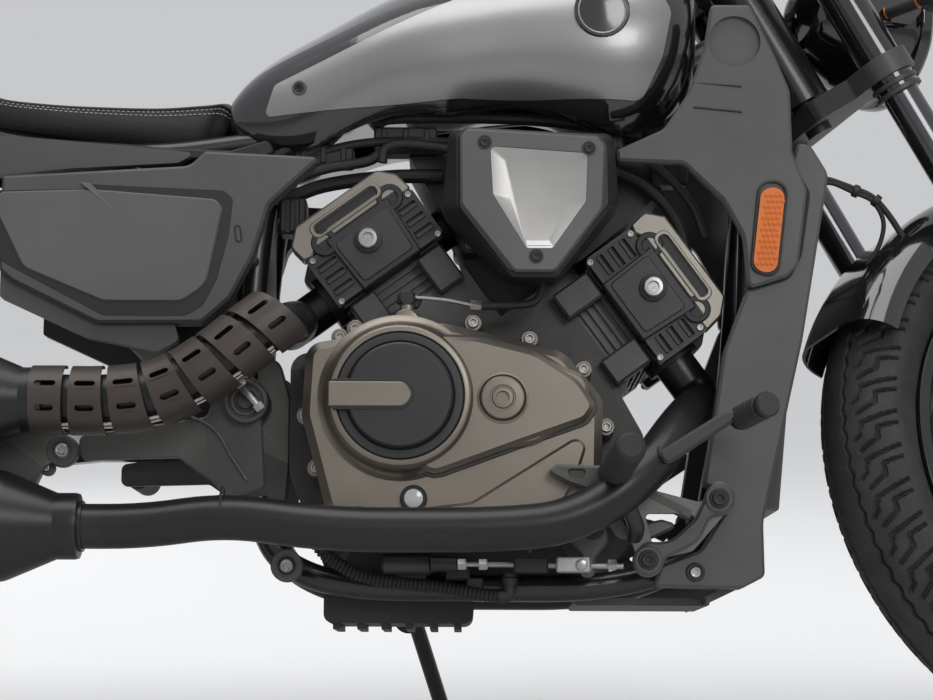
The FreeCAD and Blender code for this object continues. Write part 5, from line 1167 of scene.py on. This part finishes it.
def foot_details(bench):
    """Cast bracket, peg with its rubber, and the pedal with its grooved round tip."""
    casting = Form()
    casting.slab(((1117, 290, 12), (1139, 278, 12), (1136, 252, 14), (1112, 248, 14), (1100, 222, 30),
            (1066, 206, 16), (1058, 186, 14), (1036, 186, 14), (1030, 208, 14), (1044, 222, 12),
            (1070, 222, 30), (1096, 246, 24)), 160, 178, 3)
    casting.slab(((1026, 286, 5), (1040, 284, 5), (1098, 256, 4), (1092, 244, 4), (1034, 272, 5)), 158,
            172, 2.5)
    casting.slab(((986, 272, 4), (1000, 274, 4), (1028, 238, 8), (1062, 246, 8), (1082, 240, 5),
            (1048, 224, 12), (1016, 226, 10)), 158, 170, 2.5)
    casting.lathe(((15, 170), (15, 179), (13, 181)), right_side(1121, 0, 267), 32)
    casting.lathe(((15, 170), (15, 179), (13, 181)), right_side(1047, 0, 203), 32)
    bench.twins("foot_bracket_face", casting, "casting")
    bolts = Form()
    for x, z in ((1121, 267), (1047, 203)):
        bolts.lathe(((10.6, 179), (10.6, 182.4), (9.4, 183.2)), right_side(x, 0, z))
        bolts.bolt((x, -183, z), -Y_AXIS, 7.4, 4.6)
    bench.twins("foot_bracket_bolts", bolts, "black_plastic")
    arm = Form()
    arm.slab(((1052, 309, 8), (1064, 297, 8), (1132, 342, 10), (1140, 355, 6), (1122, 353, 10)), 206, 224, 3)
    arm.pipe(((1048, -186, 288), (1052, -200, 300), (1062, -214, 312)), 9, 16)
    tip_axis = Vector((0.35, -0.93, 0.12))
    tip = along_axis((1139, -206, 347), tip_axis)
    arm.grooved((((11.6, 0),), ((13.4, 62), (13, 66), (11.6, 68))), 9, 8, 5.4, (3, 3.6, 4.8),
            (13.4, 12.2), tip, 32)
    bench.twins("foot_controls", arm, "satin_black", replaces=("foot_levers",))
    bench.twins("peg_plate", Form().slab(((940, 292, 6), (952, 300, 8), (1004, 298, 6), (1010, 282, 8),
            (984, 272, 10), (962, 280, 8)), 196, 206, 3,
            holes=[(((962, 294, 3), (982, 294, 3), (978, 284, 4), (966, 286, 3)), 3, 0.8)]), "casting")
    start = Vector((1008, -206, 287))
    end = Vector((1020, -330, 306))
    along = (end - start).normalized()
    bench.twins("peg_rubber", Form().grooved((((11, 0), (14, 8)), ((16, 118), (14.5, 122), (11, 124))),
            12, 12, 8.6, (5, 6.2, 7.6), (16.4, 14.6), along_axis(start, along), 24), "rubber", sharp=25,
            replaces=("foot_pegs",))
    bench.twins("peg_arms", Form().pipe(((1034, -164, 226), (1034, -192, 238), (1022, -204, 262),
            (1009, -206, 284)), 8, 18), "satin_black")
    bench.piece("passenger_peg", Form().grooved((((11, 0), (14, 2)), ((16, 95), (13, 99), (0, 100))), 9,
            5, 9.8, (7, 8, 9.4), (16, 14.4), along_axis((470, 160, 320), Y_AXIS), 28), "rubber", sharp=25)
    bench.piece("brake_pump", Form().lathe(((8, 0), (11, 3), (11, 50), (8, 54), (7, 62)),
            along_axis((770, -150, 199), X_AXIS), 28), "satin_black")
    bench.twins("peg_feeler", Form().lathe(((9, 0), (9, 10), (7, 13), (6.6, 20), (4, 23), (0, 23.6)),
            along_axis((1028, -196, 292), (0.25, -0.6, -0.76)), 24), "brushed")
    bench.twins("bracket_lower", Form().slab(((976, 248, 14), (1004, 246, 14), (1008, 224, 12),
            (994, 206, 8), (992, 186, 6), (978, 186, 6), (978, 208, 8), (964, 228, 10)), 148, 166, 2.5),
            "casting")
    bench.twins("bracket_lower_bolt", Form().lathe(((12, 166), (12, 169), (10.6, 170.4), (7, 170.4),
            (6.6, 167), (0, 167)), right_side(990, 0, 236), 32), "black_plastic")


def pivot_details(bench):
    """Rings, bolts and clevis on the pivot castings and the exhaust hanger."""
    rings = Form()
    place = right_side(627, 0, 367.5)
    rings.lathe(((23, 158), (23, 171), (21, 173), (18.6, 173), (18, 171), (15.6, 171), (15, 174),
            (12.6, 174), (12, 170), (8.6, 170), (8, 175), (5, 176), (0, 176)), place, 48)
    bench.twins("pivot_rings", rings, "casting")
    clevis = Form()
    clevis.pipe(((622, -181, 384), (632, -183, 372), (642, -183, 360)), 4.2, 12)
    clevis.hex_nut((619, -181, 389), (0.6, 0, -0.8), 6.4, 9)
    clevis.hex_nut((640, -183, 363), (0.6, 0, -0.8), 5.6, 8)
    bench.piece("clevis_rod", clevis, "steel")
    washers = Form()
    for x, z, r, w in ((437, 314, 17, 176), (420, 297, 8, 166), (671, 197, 17, 150)):
        washers.lathe(((r, w - 12), (r, w - 1), (r - 1.6, w + 1), (r * 0.56, w + 1), (r * 0.5, w - 1),
                (0, w - 1)), right_side(x, 0, z), 36)
    bench.piece("hanger_washers", washers, "casting")
    heads = Form()
    for x, z, r, w in ((437, 314, 7.4, 176), (420, 297, 4, 166), (671, 197, 7, 150)):
        heads.bolt((x, -w, z), -Y_AXIS, r, 5)
    bench.piece("hanger_bolts", heads, "steel")
    ridge = Form().pipe(((560, -161, 356), (592, -161, 340), (612, -161, 310), (628, -161, 286)), 1.6, 8)
    bench.twins("hanger_ridge", ridge, "casting")


PIPE_Y = -222
MUFFLER_LEVELS = (232, 361)
MUFFLER_END = -170


def exhaust_details(bench):
    """Collars, end rings, bores and straps of the mufflers, and the welds of the pipes."""
    collars = Form()
    for front, z in ((469, 232), (430, 361)):
        collars.lathe(((26, 0), (33, 1.5), (34, 6), (34, 26), (33, 30), (26, 31)),
                along_axis((front - 34, PIPE_Y, z), X_AXIS), 48)
    bench.piece("muffler_collars", collars, "exhaust")
    tips = Form()
    for z in MUFFLER_LEVELS:
        tips.lathe(((57.6, 0), (57.6, 5), (55, 7), (44, 8), (43, 5), (42, -16), (0, -16)),
                along_axis((MUFFLER_END, PIPE_Y, z), -X_AXIS), 48)
    bench.piece("muffler_tips", tips, "satin_black")
    bores = Form()
    for z in MUFFLER_LEVELS:
        bores.lathe(((41, 6), (41, 9), (39, 9.6), (38, 5), (36, -20), (0, -20)),
                along_axis((MUFFLER_END, PIPE_Y, z), -X_AXIS), 48)
    bench.piece("muffler_bores", bores, "steel")
    straps = Form()
    for x in (330, 20):
        for z in MUFFLER_LEVELS:
            straps.lathe(((58.2, 0), (59.4, 1), (59.4, 21), (58.2, 22)),
                    along_axis((x, PIPE_Y, z), X_AXIS), 64, high=False)
            straps.slab(rect(x + 3, z - 8, x + 19, z + 8, 2), 162, 168, 1)
    bench.piece("muffler_straps", straps, "satin_black")
    weld = Form()
    for x, y, z in ((610, -222, 249), (924, -210, 232)):
        ring = [Vector((x, y + 23.2 * math.cos(2 * math.pi * k / 40),
                z + 23.2 * math.sin(2 * math.pi * k / 40))) for k in range(41)]
        weld.merge(Form().pipe(ring, 1.5, 6, 2, False))
    bench.piece("pipe_welds", weld, "exhaust")


# Front brake hose, wheel-speed lead and its tail: points and radius
FRONT_LINES = (
    (((1250, -64, 632), (1262, -62, 630), (1285, -60, 622), (1307, -60, 612), (1326, -60, 590),
      (1350, -58, 552), (1378, -52, 520)), 3.6),
    (((1250, -70, 626), (1264, -66, 626), (1285, -64, 617), (1306, -64, 607), (1318, -62, 585),
      (1314, -60, 560), (1300, -58, 536)), 2.6),
    (((1302, -58, 534), (1330, -60, 540), (1352, -60, 538), (1380, -58, 524), (1398, -56, 500)), 3.0),
)


def front_hoses(bench):
    """Brake hose and wheel-speed lead from the frame to the front fender, tied together."""
    lines = Form()
    for points, radius in FRONT_LINES:
        lines.merge(Form().pipe(points, radius, 10, 8))
    hoses = bench.piece("front_hoses", lines, "rubber", None)
    ties = Form()
    for at, axis in (((1285, -62, 620), (1, 0, -0.42)), ((1308, -62, 610), (1, 0, -0.8))):
        ties.lathe(((6.4, 0), (7.2, 1), (7.2, 6), (6.4, 7)), along_axis(at, axis), 16, True)
    held = bench.piece("front_hose_ties", ties, "black_plastic", None)
    for obj in (hoses, held):
        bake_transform(obj)


def cylinder_details(bench):
    """Square blocks and bolted studs round both barrels."""
    for name, side in (("rear", 1), ("front", -1)):
        place = head_frame(name)
        blocks = Form()
        for u0, u1 in ((-58, -26), (30, 62)):
            blocks.slab(rect(u0, -92, u1, -46, 3), 84, 112, 2.5, place)
        bench.twins("barrel_blocks_" + name, blocks, "engine_dark")
        bolts = Form()
        rings = Form()
        for u, v in ((96 * side, -40), (88 * side, -66)):
            rings.lathe(((11, 60), (11, 106), (9.6, 108), (7, 108), (6.8, 104), (0, 104)),
                    place @ Matrix.Translation((u, v, 0)), 28)
            bolts.bolt(place @ Vector((u, v, 104)), -Y_AXIS, 6, 4)
        bench.twins("stud_rings_" + name, rings, "black_plastic")
        bench.twins("studs_" + name, bolts, "steel")


SPRING_TURNS = 11


def left_details(bench):
    """Bolts and bosses round the left covers, the drum's cap and the stand's spring."""
    bosses = Form()
    bolts = Form()
    for k in range(10):
        a = 2 * math.pi * k / 10
        x = 901 + 92 * math.cos(a)
        z = 350 + 92 * math.sin(a)
        place = local((x, 0, z), -X_AXIS, Z_AXIS)
        bosses.lathe(((10, 120), (9, 156), (8, 157)), place, 20)
        bolts.bolt((x, 157, z), Y_AXIS, 6, 5)
    bench.piece("left_bosses", bosses, "bronze")
    bench.piece("left_bolts", bolts, "steel")
    drum = local((901, 0, 350), -X_AXIS, Z_AXIS)
    bench.piece("left_drum_cap", Form().lathe(((64, 170), (64, 174.6), (62, 176), (50, 176), (48, 174.8),
            (46, 176), (14, 176.6), (13, 174.8), (10, 174.8), (9, 177), (0, 177)), drum, 64),
            "satin_black")
    line = []
    a = Vector((790, 164, 176))
    b = Vector((724, 152, 186))
    along = (b - a).normalized()
    n1 = along.cross(Y_AXIS).normalized()
    n2 = along.cross(n1)
    for k in range(SPRING_TURNS * 14 + 1):
        t = k / (SPRING_TURNS * 14)
        ang = 2 * math.pi * SPRING_TURNS * t
        line.append(a.lerp(b, t) + n1 * 7 * math.cos(ang) + n2 * 7 * math.sin(ang))
    bench.piece("stand_spring", Form().pipe(line, 1.5, 6, 1), "steel")


# Front end, controls and rear end

TAIL_HALF = 36
SIGNAL_CUP = ((3, -3), (21, 1), (25, 12), (25.6, 30), (24.6, 31), (24, 28))
LAMP_TURN = math.radians(-52)


def lamp_details(bench):
    """Headlight bezel, light ring and lenses; housings, ribs and stalks of the other lamps."""
    place = local((1246, 0, 850), (0, 1, 0), (-0.02, 0, 1))
    bench.piece("headlight_bezel", Form().lathe(((92.4, 112), (94, 116), (93.6, 124), (90, 129),
            (85, 129.6), (83.2, 126), (83, 121)), place, 96, high=False), "gloss_black", "fork")
    bench.piece("headlight_ring", Form().lathe(((73, 127), (73, 130.6), (70, 132.4), (64, 133.2),
            (61, 132.4), (61, 129)), place, 96, high=False), "pale_glass", "fork")
    dome = Form()
    eyes = Form()
    for v in (24, -26):
        cell = place @ Matrix.Translation((0, v, 0))
        dome.lathe(((25, 128), (25, 135.4), (23, 137), (21, 136)), cell, 40, high=False)
        eyes.lathe(((21, 130), (21, 135), (14, 138.4), (0, 140)), cell, 40)
    bench.piece("headlight_cells", dome, "chrome", "fork")
    bench.piece("headlight_eyes", eyes, "pale_glass", "fork")
    fins = Form()
    for v in (-4.5, 0.5):
        fins.slab(rect(-58, v - 1.2, 58, v + 1.2, 1), 126, 136, 0.6, place)
    bench.piece("headlight_fins", fins, "black_plastic", "fork")
    cups = Form()
    cups.lathe(((7.6, 0), (7.6, 36)), along_axis((1303, -94, 814), (0.49, -0.87, 0)), 16)
    cups.lathe(SIGNAL_CUP, along_axis((1310, -156, 814), X_AXIS), 40, high=False)
    bench.twins("front_signal_cups", cups, "black_plastic", "fork")
    ribs = Form()
    for k in range(4):
        ribs.lathe(((21.6 - 2.2 * k, 38), (21.6 - 2.2 * k, 40.6 + k), (20 - 2.2 * k, 41.4 + k)),
                along_axis((1310, -156, 814), X_AXIS), 40, high=False)
    bench.twins("front_signal_ribs", ribs, "amber", "fork")
    cups = Form()
    cups.lathe(((8.6, 0), (8.6, 70)), along_axis((-301, -66, 560.4), (-0.125, -1, 0.075)), 16)
    cups.lathe(SIGNAL_CUP, along_axis((-288, -152, 566), -X_AXIS), 40, high=False)
    bench.twins("rear_signal_cups", cups, "black_plastic")
    turn = Matrix.Rotation(LAMP_TURN, 4, "Y")
    side = Matrix.Translation(REAR_AXLE) @ turn @ right_side(z=-REAR_TYRE_R)
    housing = Form()
    for y in (-53.5, 50.5):
        housing.slab(((-50, 692, 0), (-33, 733, 12), (29, 729, 12), (44, 692, 0)), y, y + 3, 1, side)
    housing.slab(((-52, 690, 0), (46, 690, 0), (46, 700, 2), (-52, 700, 2)), -54.5, 54.5, 1, side)
    bench.piece("tail_lamp_housing", housing, "black_plastic")
    ribs = Form()
    for k in range(9):
        x = -27 + k * 6.4
        ribs.slab(((x, 724, 0.6), (x + 2.6, 724, 0.6), (x + 2.6, 732.6, 0.6), (x, 732.8, 0.6)), -44, 44,
                1, side)
    bench.piece("tail_lamp_ribs", ribs, "red")


def control_details(bench):
    """Ribbed grips, mirror glasses, the instrument's face and the bar clamps."""
    end = Vector((925, -404, 990))
    inner = Vector((1110, -330, 1018))
    along = (end - inner).normalized()
    start = end - along * 118
    rows = [(12, 1), (17.4, 2), (17.4, 4)]
    for k in range(12):
        rows += [(16.6, 6 + k * 9), (17.6, 7 + k * 9), (17.6, 11.4 + k * 9), (16.6, 12.4 + k * 9)]
    rows += [(17, 115), (15, 118), (12, 118.4)]
    bench.twins("grip_rubber", Form().lathe(rows, along_axis(start, along), 40), "rubber", "fork", sharp=25)
    bench.twins("bar_ends", Form().lathe(((15, 0), (16, 2), (16, 9), (13, 13), (6, 14), (0, 14)),
            along_axis(end, along), 32), "satin_metal", "fork")
    switches = Form()
    out = along.cross(Z_AXIS).normalized()
    for shift, r in ((-12, 5), (-24, 6)):
        at = start + along * shift + Z_AXIS * 21 - out * 4
        switches.lathe(((r, -3), (r, 3.4), (r - 1, 4.4)), along_axis(at, Z_AXIS), 20)
    switches.bolt(start + along * -17 - out * 22, -out, 4, 3)
    switches.bolt(start + along * -50 - out * 17, -out, 4, 3)
    bench.twins("switches", switches, "grey_plastic", "fork")
    glass = local((0, 0, 0), -Y_AXIS, Z_AXIS)
    rows = ((-440, 1068, 22), (-300, 1062, 22), (-310, 1128, 26), (-446, 1118, 26))
    outline = counter(rounded(rows))
    bench.twins("mirror_frames", Form().slab(inset(outline, -0.6), -1080, -1064.2, 2, glass,
            [(inset(outline, 5), 1.6, 0.6)]), "black_plastic", "fork")
    bench.twins("mirror_faces", Form().slab(inset(outline, 5.2), -1068, -1065.2, 0.3, glass), "mirror",
            "fork")
    dial = local((1228, 0, 958), (0, -1, 0), (0.83, 0, 0.55))
    bench.piece("instrument_rim", Form().lathe(((50.4, 30), (51.6, 34), (51.6, 45), (49.6, 47.6),
            (46, 47.6), (45, 45)), dial, 64, high=False), "satin_metal", "fork")
    bench.piece("instrument_glass", Form().lathe(((45.6, 43.8), (45, 45.2), (30, 46), (0, 46.4)), dial,
            64), "dark_glass", "fork")
    ticks = Form()
    for k in range(25):
        a = math.radians(-225 + k * 11.25)
        long = 5.5 if k % 4 == 0 else 3
        p = Vector((math.cos(a), math.sin(a)))
        q = Vector((-p.y, p.x)) * 0.5
        ring = [p * (41 - long) + q, p * (41 - long) - q, p * 41 - q, p * 41 + q]
        ticks.rings([[(v.x, v.y, w) for v in counter(ring)] for w in (45, 46.0)], dial)
    bench.piece("instrument_ticks", ticks, "pale_glass", "fork")
    caps = Form()
    for y in (-45, 45):
        caps.pipe(((1150, y - 14, 967), (1150, y + 14, 967)), 3, 12)
        for dy in (-9, 9):
            for dx in (-12.9, 12.9):
                caps.bolt((1146 + dx, y + dy, 960), Z_AXIS, 4.6, 9)
    for y in (-LEG_Y, LEG_Y):
        top = Vector((STEER_FOOT.x + LEG_AHEAD * math.cos(RAKE) - 1036 * math.sin(RAKE), y,
                LEG_AHEAD * math.sin(RAKE) + 1036 * math.cos(RAKE)))
        caps.lathe(((19, 0), (19, 4), (17, 6), (11, 6), (10.5, 4), (0, 4)), along_axis(top, STEER_AXIS), 32)
    stem = Vector((STEER_FOOT.x - 1040 * math.sin(RAKE), 0, 1040 * math.cos(RAKE)))
    caps.hex_nut(stem, STEER_AXIS, 18, 8)
    bench.piece("clamp_fittings", caps, "steel", "fork")


def disc_holes(axle, count, skew, first, out, radius):
    """Two rings of dark holes on the right face of a disc, the outer one turned on by skew degrees."""
    holes = Form()
    for k in range(count):
        for j in range(2):
            a = math.radians(360 / count * k + j * skew)
            r = first + j * 13
            at = (axle[0] + r * math.cos(a), -out, axle[2] + r * math.sin(a))
            holes.lathe(((radius, 0), (radius, 0.35)), along_axis(at, -Y_AXIS), 10)
    return holes


def fork_details(bench):
    """Double collars, dust seals, pinch bolts, disc holes and caliper bolts of the front end."""
    leg = STEER_FOOT - Y_AXIS * LEG_Y + STEER_AHEAD * LEG_AHEAD
    collars = Form()
    for t, r in ((788, 25), (798, 25), (566, 22), (558, 27)):
        collars.lathe(((r, 0), (r + 2.2, 1), (r + 2.2, 5.4), (r, 6.4)),
                along_axis(leg + STEER_AXIS * t, STEER_AXIS), 48, True)
    for k in range(3):
        collars.lathe(((22, 0), (23.6, 1), (23.6, 3), (22, 4)),
                along_axis(leg + STEER_AXIS * (570 + 6 * k), STEER_AXIS), 40, True)
    bench.twins("fork_collars", collars, "satin_black", "fork")
    bench.twins("stanchion_skins", Form().lathe(((20.9, 0), (20.9, 205)),
            along_axis(leg + STEER_AXIS * 582, STEER_AXIS), 48, True), "dark_chrome", "fork")
    bolts = Form()
    for t in (822, 1018):
        bolts.bolt(leg + STEER_AXIS * t + STEER_AHEAD * 30, STEER_AHEAD, 5, 5)
    for da in (-18, 18):
        bolts.bolt((1545 + da, -131, 300), -Y_AXIS, 4.6, 3)
    bench.twins("fork_bolts", bolts, "steel", "fork")
    bench.twins("axle_caps", Form().lathe(((17, 0), (17, 5), (15, 7), (9, 7), (8.6, 2), (0, 2)),
            along_axis((1545, -136, 319), -Y_AXIS), 32), "satin_metal", "fork")
    bench.twins("front_disc_holes", disc_holes(FRONT_AXLE, 36, 4, 126, 63.6, 3.6), "black_plastic",
            "front_wheel")
    studs = Form()
    for k in range(5):
        a = math.radians(72 * k + 20)
        studs.bolt(Vector(FRONT_AXLE) + Vector((34 * math.cos(a), -64, 34 * math.sin(a))), -Y_AXIS, 5.4, 4.5)
    bench.twins("front_disc_bolts", studs, "steel", "front_wheel")
    bench.piece("front_valve", Form().pipe(((1753, 0, 319), (1731, 0, 319)), 3.4, 10), "rubber",
            "front_wheel")


def rear_details(bench):
    """Disc holes, valve, shock nuts, the plate's edge, bolts and reflector, and the fuel cap."""
    bench.piece("rear_disc_holes", disc_holes(REAR_AXLE, 30, 5, 102, 99.1, 3.4), "black_plastic",
            "rear_wheel")
    bench.piece("rear_valve", Form().pipe(((188, 0, 320), (166, 0, 320)), 3.4, 10), "rubber", "rear_wheel")
    fittings = Form()
    for x, z in ((150, 372), (288, 640)):
        fittings.lathe(((13, 0), (13, 4), (11.5, 5)), along_axis((x, -158, z), -Y_AXIS), 28)
        fittings.hex_nut((x, -163, z), -Y_AXIS, 10, 7)
    bench.twins("shock_nuts", fittings, "steel")
    plate = Form()
    for y in (-60, 60):
        plate.bolt((-394.5, y, 380), -X_AXIS, 6.5, 3.5, False)
    bench.piece("plate_bolts", plate, "steel")
    face = local((-394, 0, 0), -Y_AXIS, Z_AXIS)
    edge = counter(rounded(rect(-88, 262, 88, 420, 10)))
    bench.piece("plate_edge", Form().slab(edge, -3, 2.4, 0.8, face, [(inset(edge, 3), None, 0.3)]),
            "black_plastic")
    bench.piece("plate_reflector", Form().slab(rect(-34, 434, 34, 458, 6), -6, 3, 1.4,
            face @ Matrix.Translation((0, 0, 4))), "red")
    place = along_axis((960, 0, 891), Z_AXIS)
    cap = Form().lathe(((30.4, 0), (31, 6), (29, 9.4), (24, 12.4), (22, 13.4), (12, 13.8), (11.6, 12.6),
            (0, 12.6)), place, 64)
    cap.slab(rect(-3, -11, 3, 11, 1), 12, 14.4, 0.6, place)
    bench.piece("fuel_cap_face", cap, "brushed")
    ring = [Vector((960 + 33 * math.cos(2 * math.pi * k / 60), 33 * math.sin(2 * math.pi * k / 60), 892))
            for k in range(61)]
    bench.piece("fuel_cap_seal", Form().pipe(ring, 1.8, 8, 1, False), "rubber")


def tank_tail(bench):
    """Crowned cover over the slot that the frame's tube leaves in the tank's tail."""
    rings = []
    for k in range(13):
        x = 600 + 4 * k
        edge = bench.height("fuel_tank", x, TAIL_HALF)
        crown = (edge - bench.height("fuel_tank", x, TAIL_HALF + 8)) / (16 * TAIL_HALF + 64) * TAIL_HALF ** 2
        row = []
        for i in range(-6, 7):
            row.append((x, TAIL_HALF * i / 6, edge - 0.4 + crown * (1 - i * i / 36)))
        rings.append(row + [(x, TAIL_HALF, edge - 14), (x, -TAIL_HALF, edge - 14)])
    bench.piece("tank_tail", Form().rings(rings), "gloss_black", sharp=50)


def build_pieces(bench):
    for build in (air_cleaner_face, clutch_details, head_details, heat_shield, tank_details, seats):
        build(bench)
    for node in TYRES:
        tyre_piece(bench, node)
    for build in (side_cover_details, shroud_details, reflector_details, harness, foot_details,
            pivot_details, exhaust_details, front_hoses, cylinder_details, left_details, lamp_details,
            control_details, fork_details, rear_details, tank_tail):
        build(bench)


# Room, lamps and camera

FLOOR_REACH = 60
FLOOR_LIFT = 0.36
LIGHT_LEVEL = 0.42
SEEN_LEVEL = 0.70
PALE = (0.82, 0.83, 0.85, 1)


def stage():
    """Plain pale floor, a little paler to the camera than its own light would make it."""
    floor_mat = bpy.data.materials.new("floor")
    floor_mat.use_nodes = True
    tree = floor_mat.node_tree
    shader = tree.nodes["Principled BSDF"]
    shader.inputs["Base Color"].default_value = (0.76, 0.76, 0.76, 1)
    shader.inputs["Roughness"].default_value = 0.85
    shader.inputs["Emission Color"].default_value = PALE
    paths = tree.nodes.new("ShaderNodeLightPath")
    lift = tree.nodes.new("ShaderNodeMath")
    lift.operation = "MULTIPLY"
    lift.inputs[1].default_value = FLOOR_LIFT
    tree.links.new(paths.outputs["Is Camera Ray"], lift.inputs[0])
    tree.links.new(lift.outputs["Value"], shader.inputs["Emission Strength"])
    mesh = bpy.data.meshes.new("floor")
    corners = [(x * FLOOR_REACH, y * FLOOR_REACH, 0) for x, y in ((-1, -1), (1, -1), (1, 1), (-1, 1))]
    mesh.from_pydata(corners, [], [(0, 1, 2, 3)])
    mesh.materials.append(floor_mat)
    obj = bpy.data.objects.new("floor", mesh)
    bpy.context.scene.collection.objects.link(obj)


def area_lamp(name, place, target, size, power):
    data = bpy.data.lights.new(name, "AREA")
    data.shape = "RECTANGLE"
    data.size, data.size_y = size
    data.energy = power
    obj = bpy.data.objects.new(name, data)
    obj.location = place
    obj.rotation_euler = (Vector(target) - Vector(place)).to_track_quat("-Z", "Y").to_euler()
    bpy.context.scene.collection.objects.link(obj)


def lights():
    world = bpy.data.worlds.new("studio")
    bpy.context.scene.world = world
    world.use_nodes = True
    tree = world.node_tree
    background = tree.nodes["Background"]
    background.inputs["Color"].default_value = PALE
    paths = tree.nodes.new("ShaderNodeLightPath")
    seen = tree.nodes.new("ShaderNodeMath")
    seen.operation = "MAXIMUM"
    tree.links.new(paths.outputs["Is Camera Ray"], seen.inputs[0])
    tree.links.new(paths.outputs["Is Glossy Ray"], seen.inputs[1])
    level = tree.nodes.new("ShaderNodeMapRange")
    level.inputs["To Min"].default_value = LIGHT_LEVEL
    level.inputs["To Max"].default_value = SEEN_LEVEL
    tree.links.new(seen.outputs["Value"], level.inputs["Value"])
    tree.links.new(level.outputs["Result"], background.inputs["Strength"])
    area_lamp("top", (0.1, -0.6, 3.4), (0.1, -0.1, 0.5), (3.6, 2.0), 58)
    area_lamp("front_side", (1.6, -3.6, 2.2), (0.2, 0, 0.5), (1.6, 1.2), 34)
    area_lamp("back_side", (-1.8, 3.0, 2.4), (0, 0, 0.5), (2.0, 1.5), 36)
    bpy.data.objects["back_side"].visible_glossy = False


CAMERA_PLACE = (0.1405, -2.750, 0.468)
CAMERA_PITCH = -0.6
CAMERA_LENS = 92.4


def camera():
    data = bpy.data.cameras.new("camera")
    data.lens = CAMERA_LENS
    data.sensor_width = 36
    data.clip_end = 60
    obj = bpy.data.objects.new("camera", data)
    obj.location = CAMERA_PLACE
    obj.rotation_euler = (math.radians(90 + CAMERA_PITCH), 0, 0)
    bpy.context.scene.collection.objects.link(obj)
    bpy.context.scene.camera = obj


def main():
    bpy.context.scene.view_settings.view_transform = "Standard"
    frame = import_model()
    mats = materials()
    dress_nodes(frame, mats)
    bench = Bench(frame, mats)
    build_pieces(bench)
    stage()
    lights()
    camera()


main()
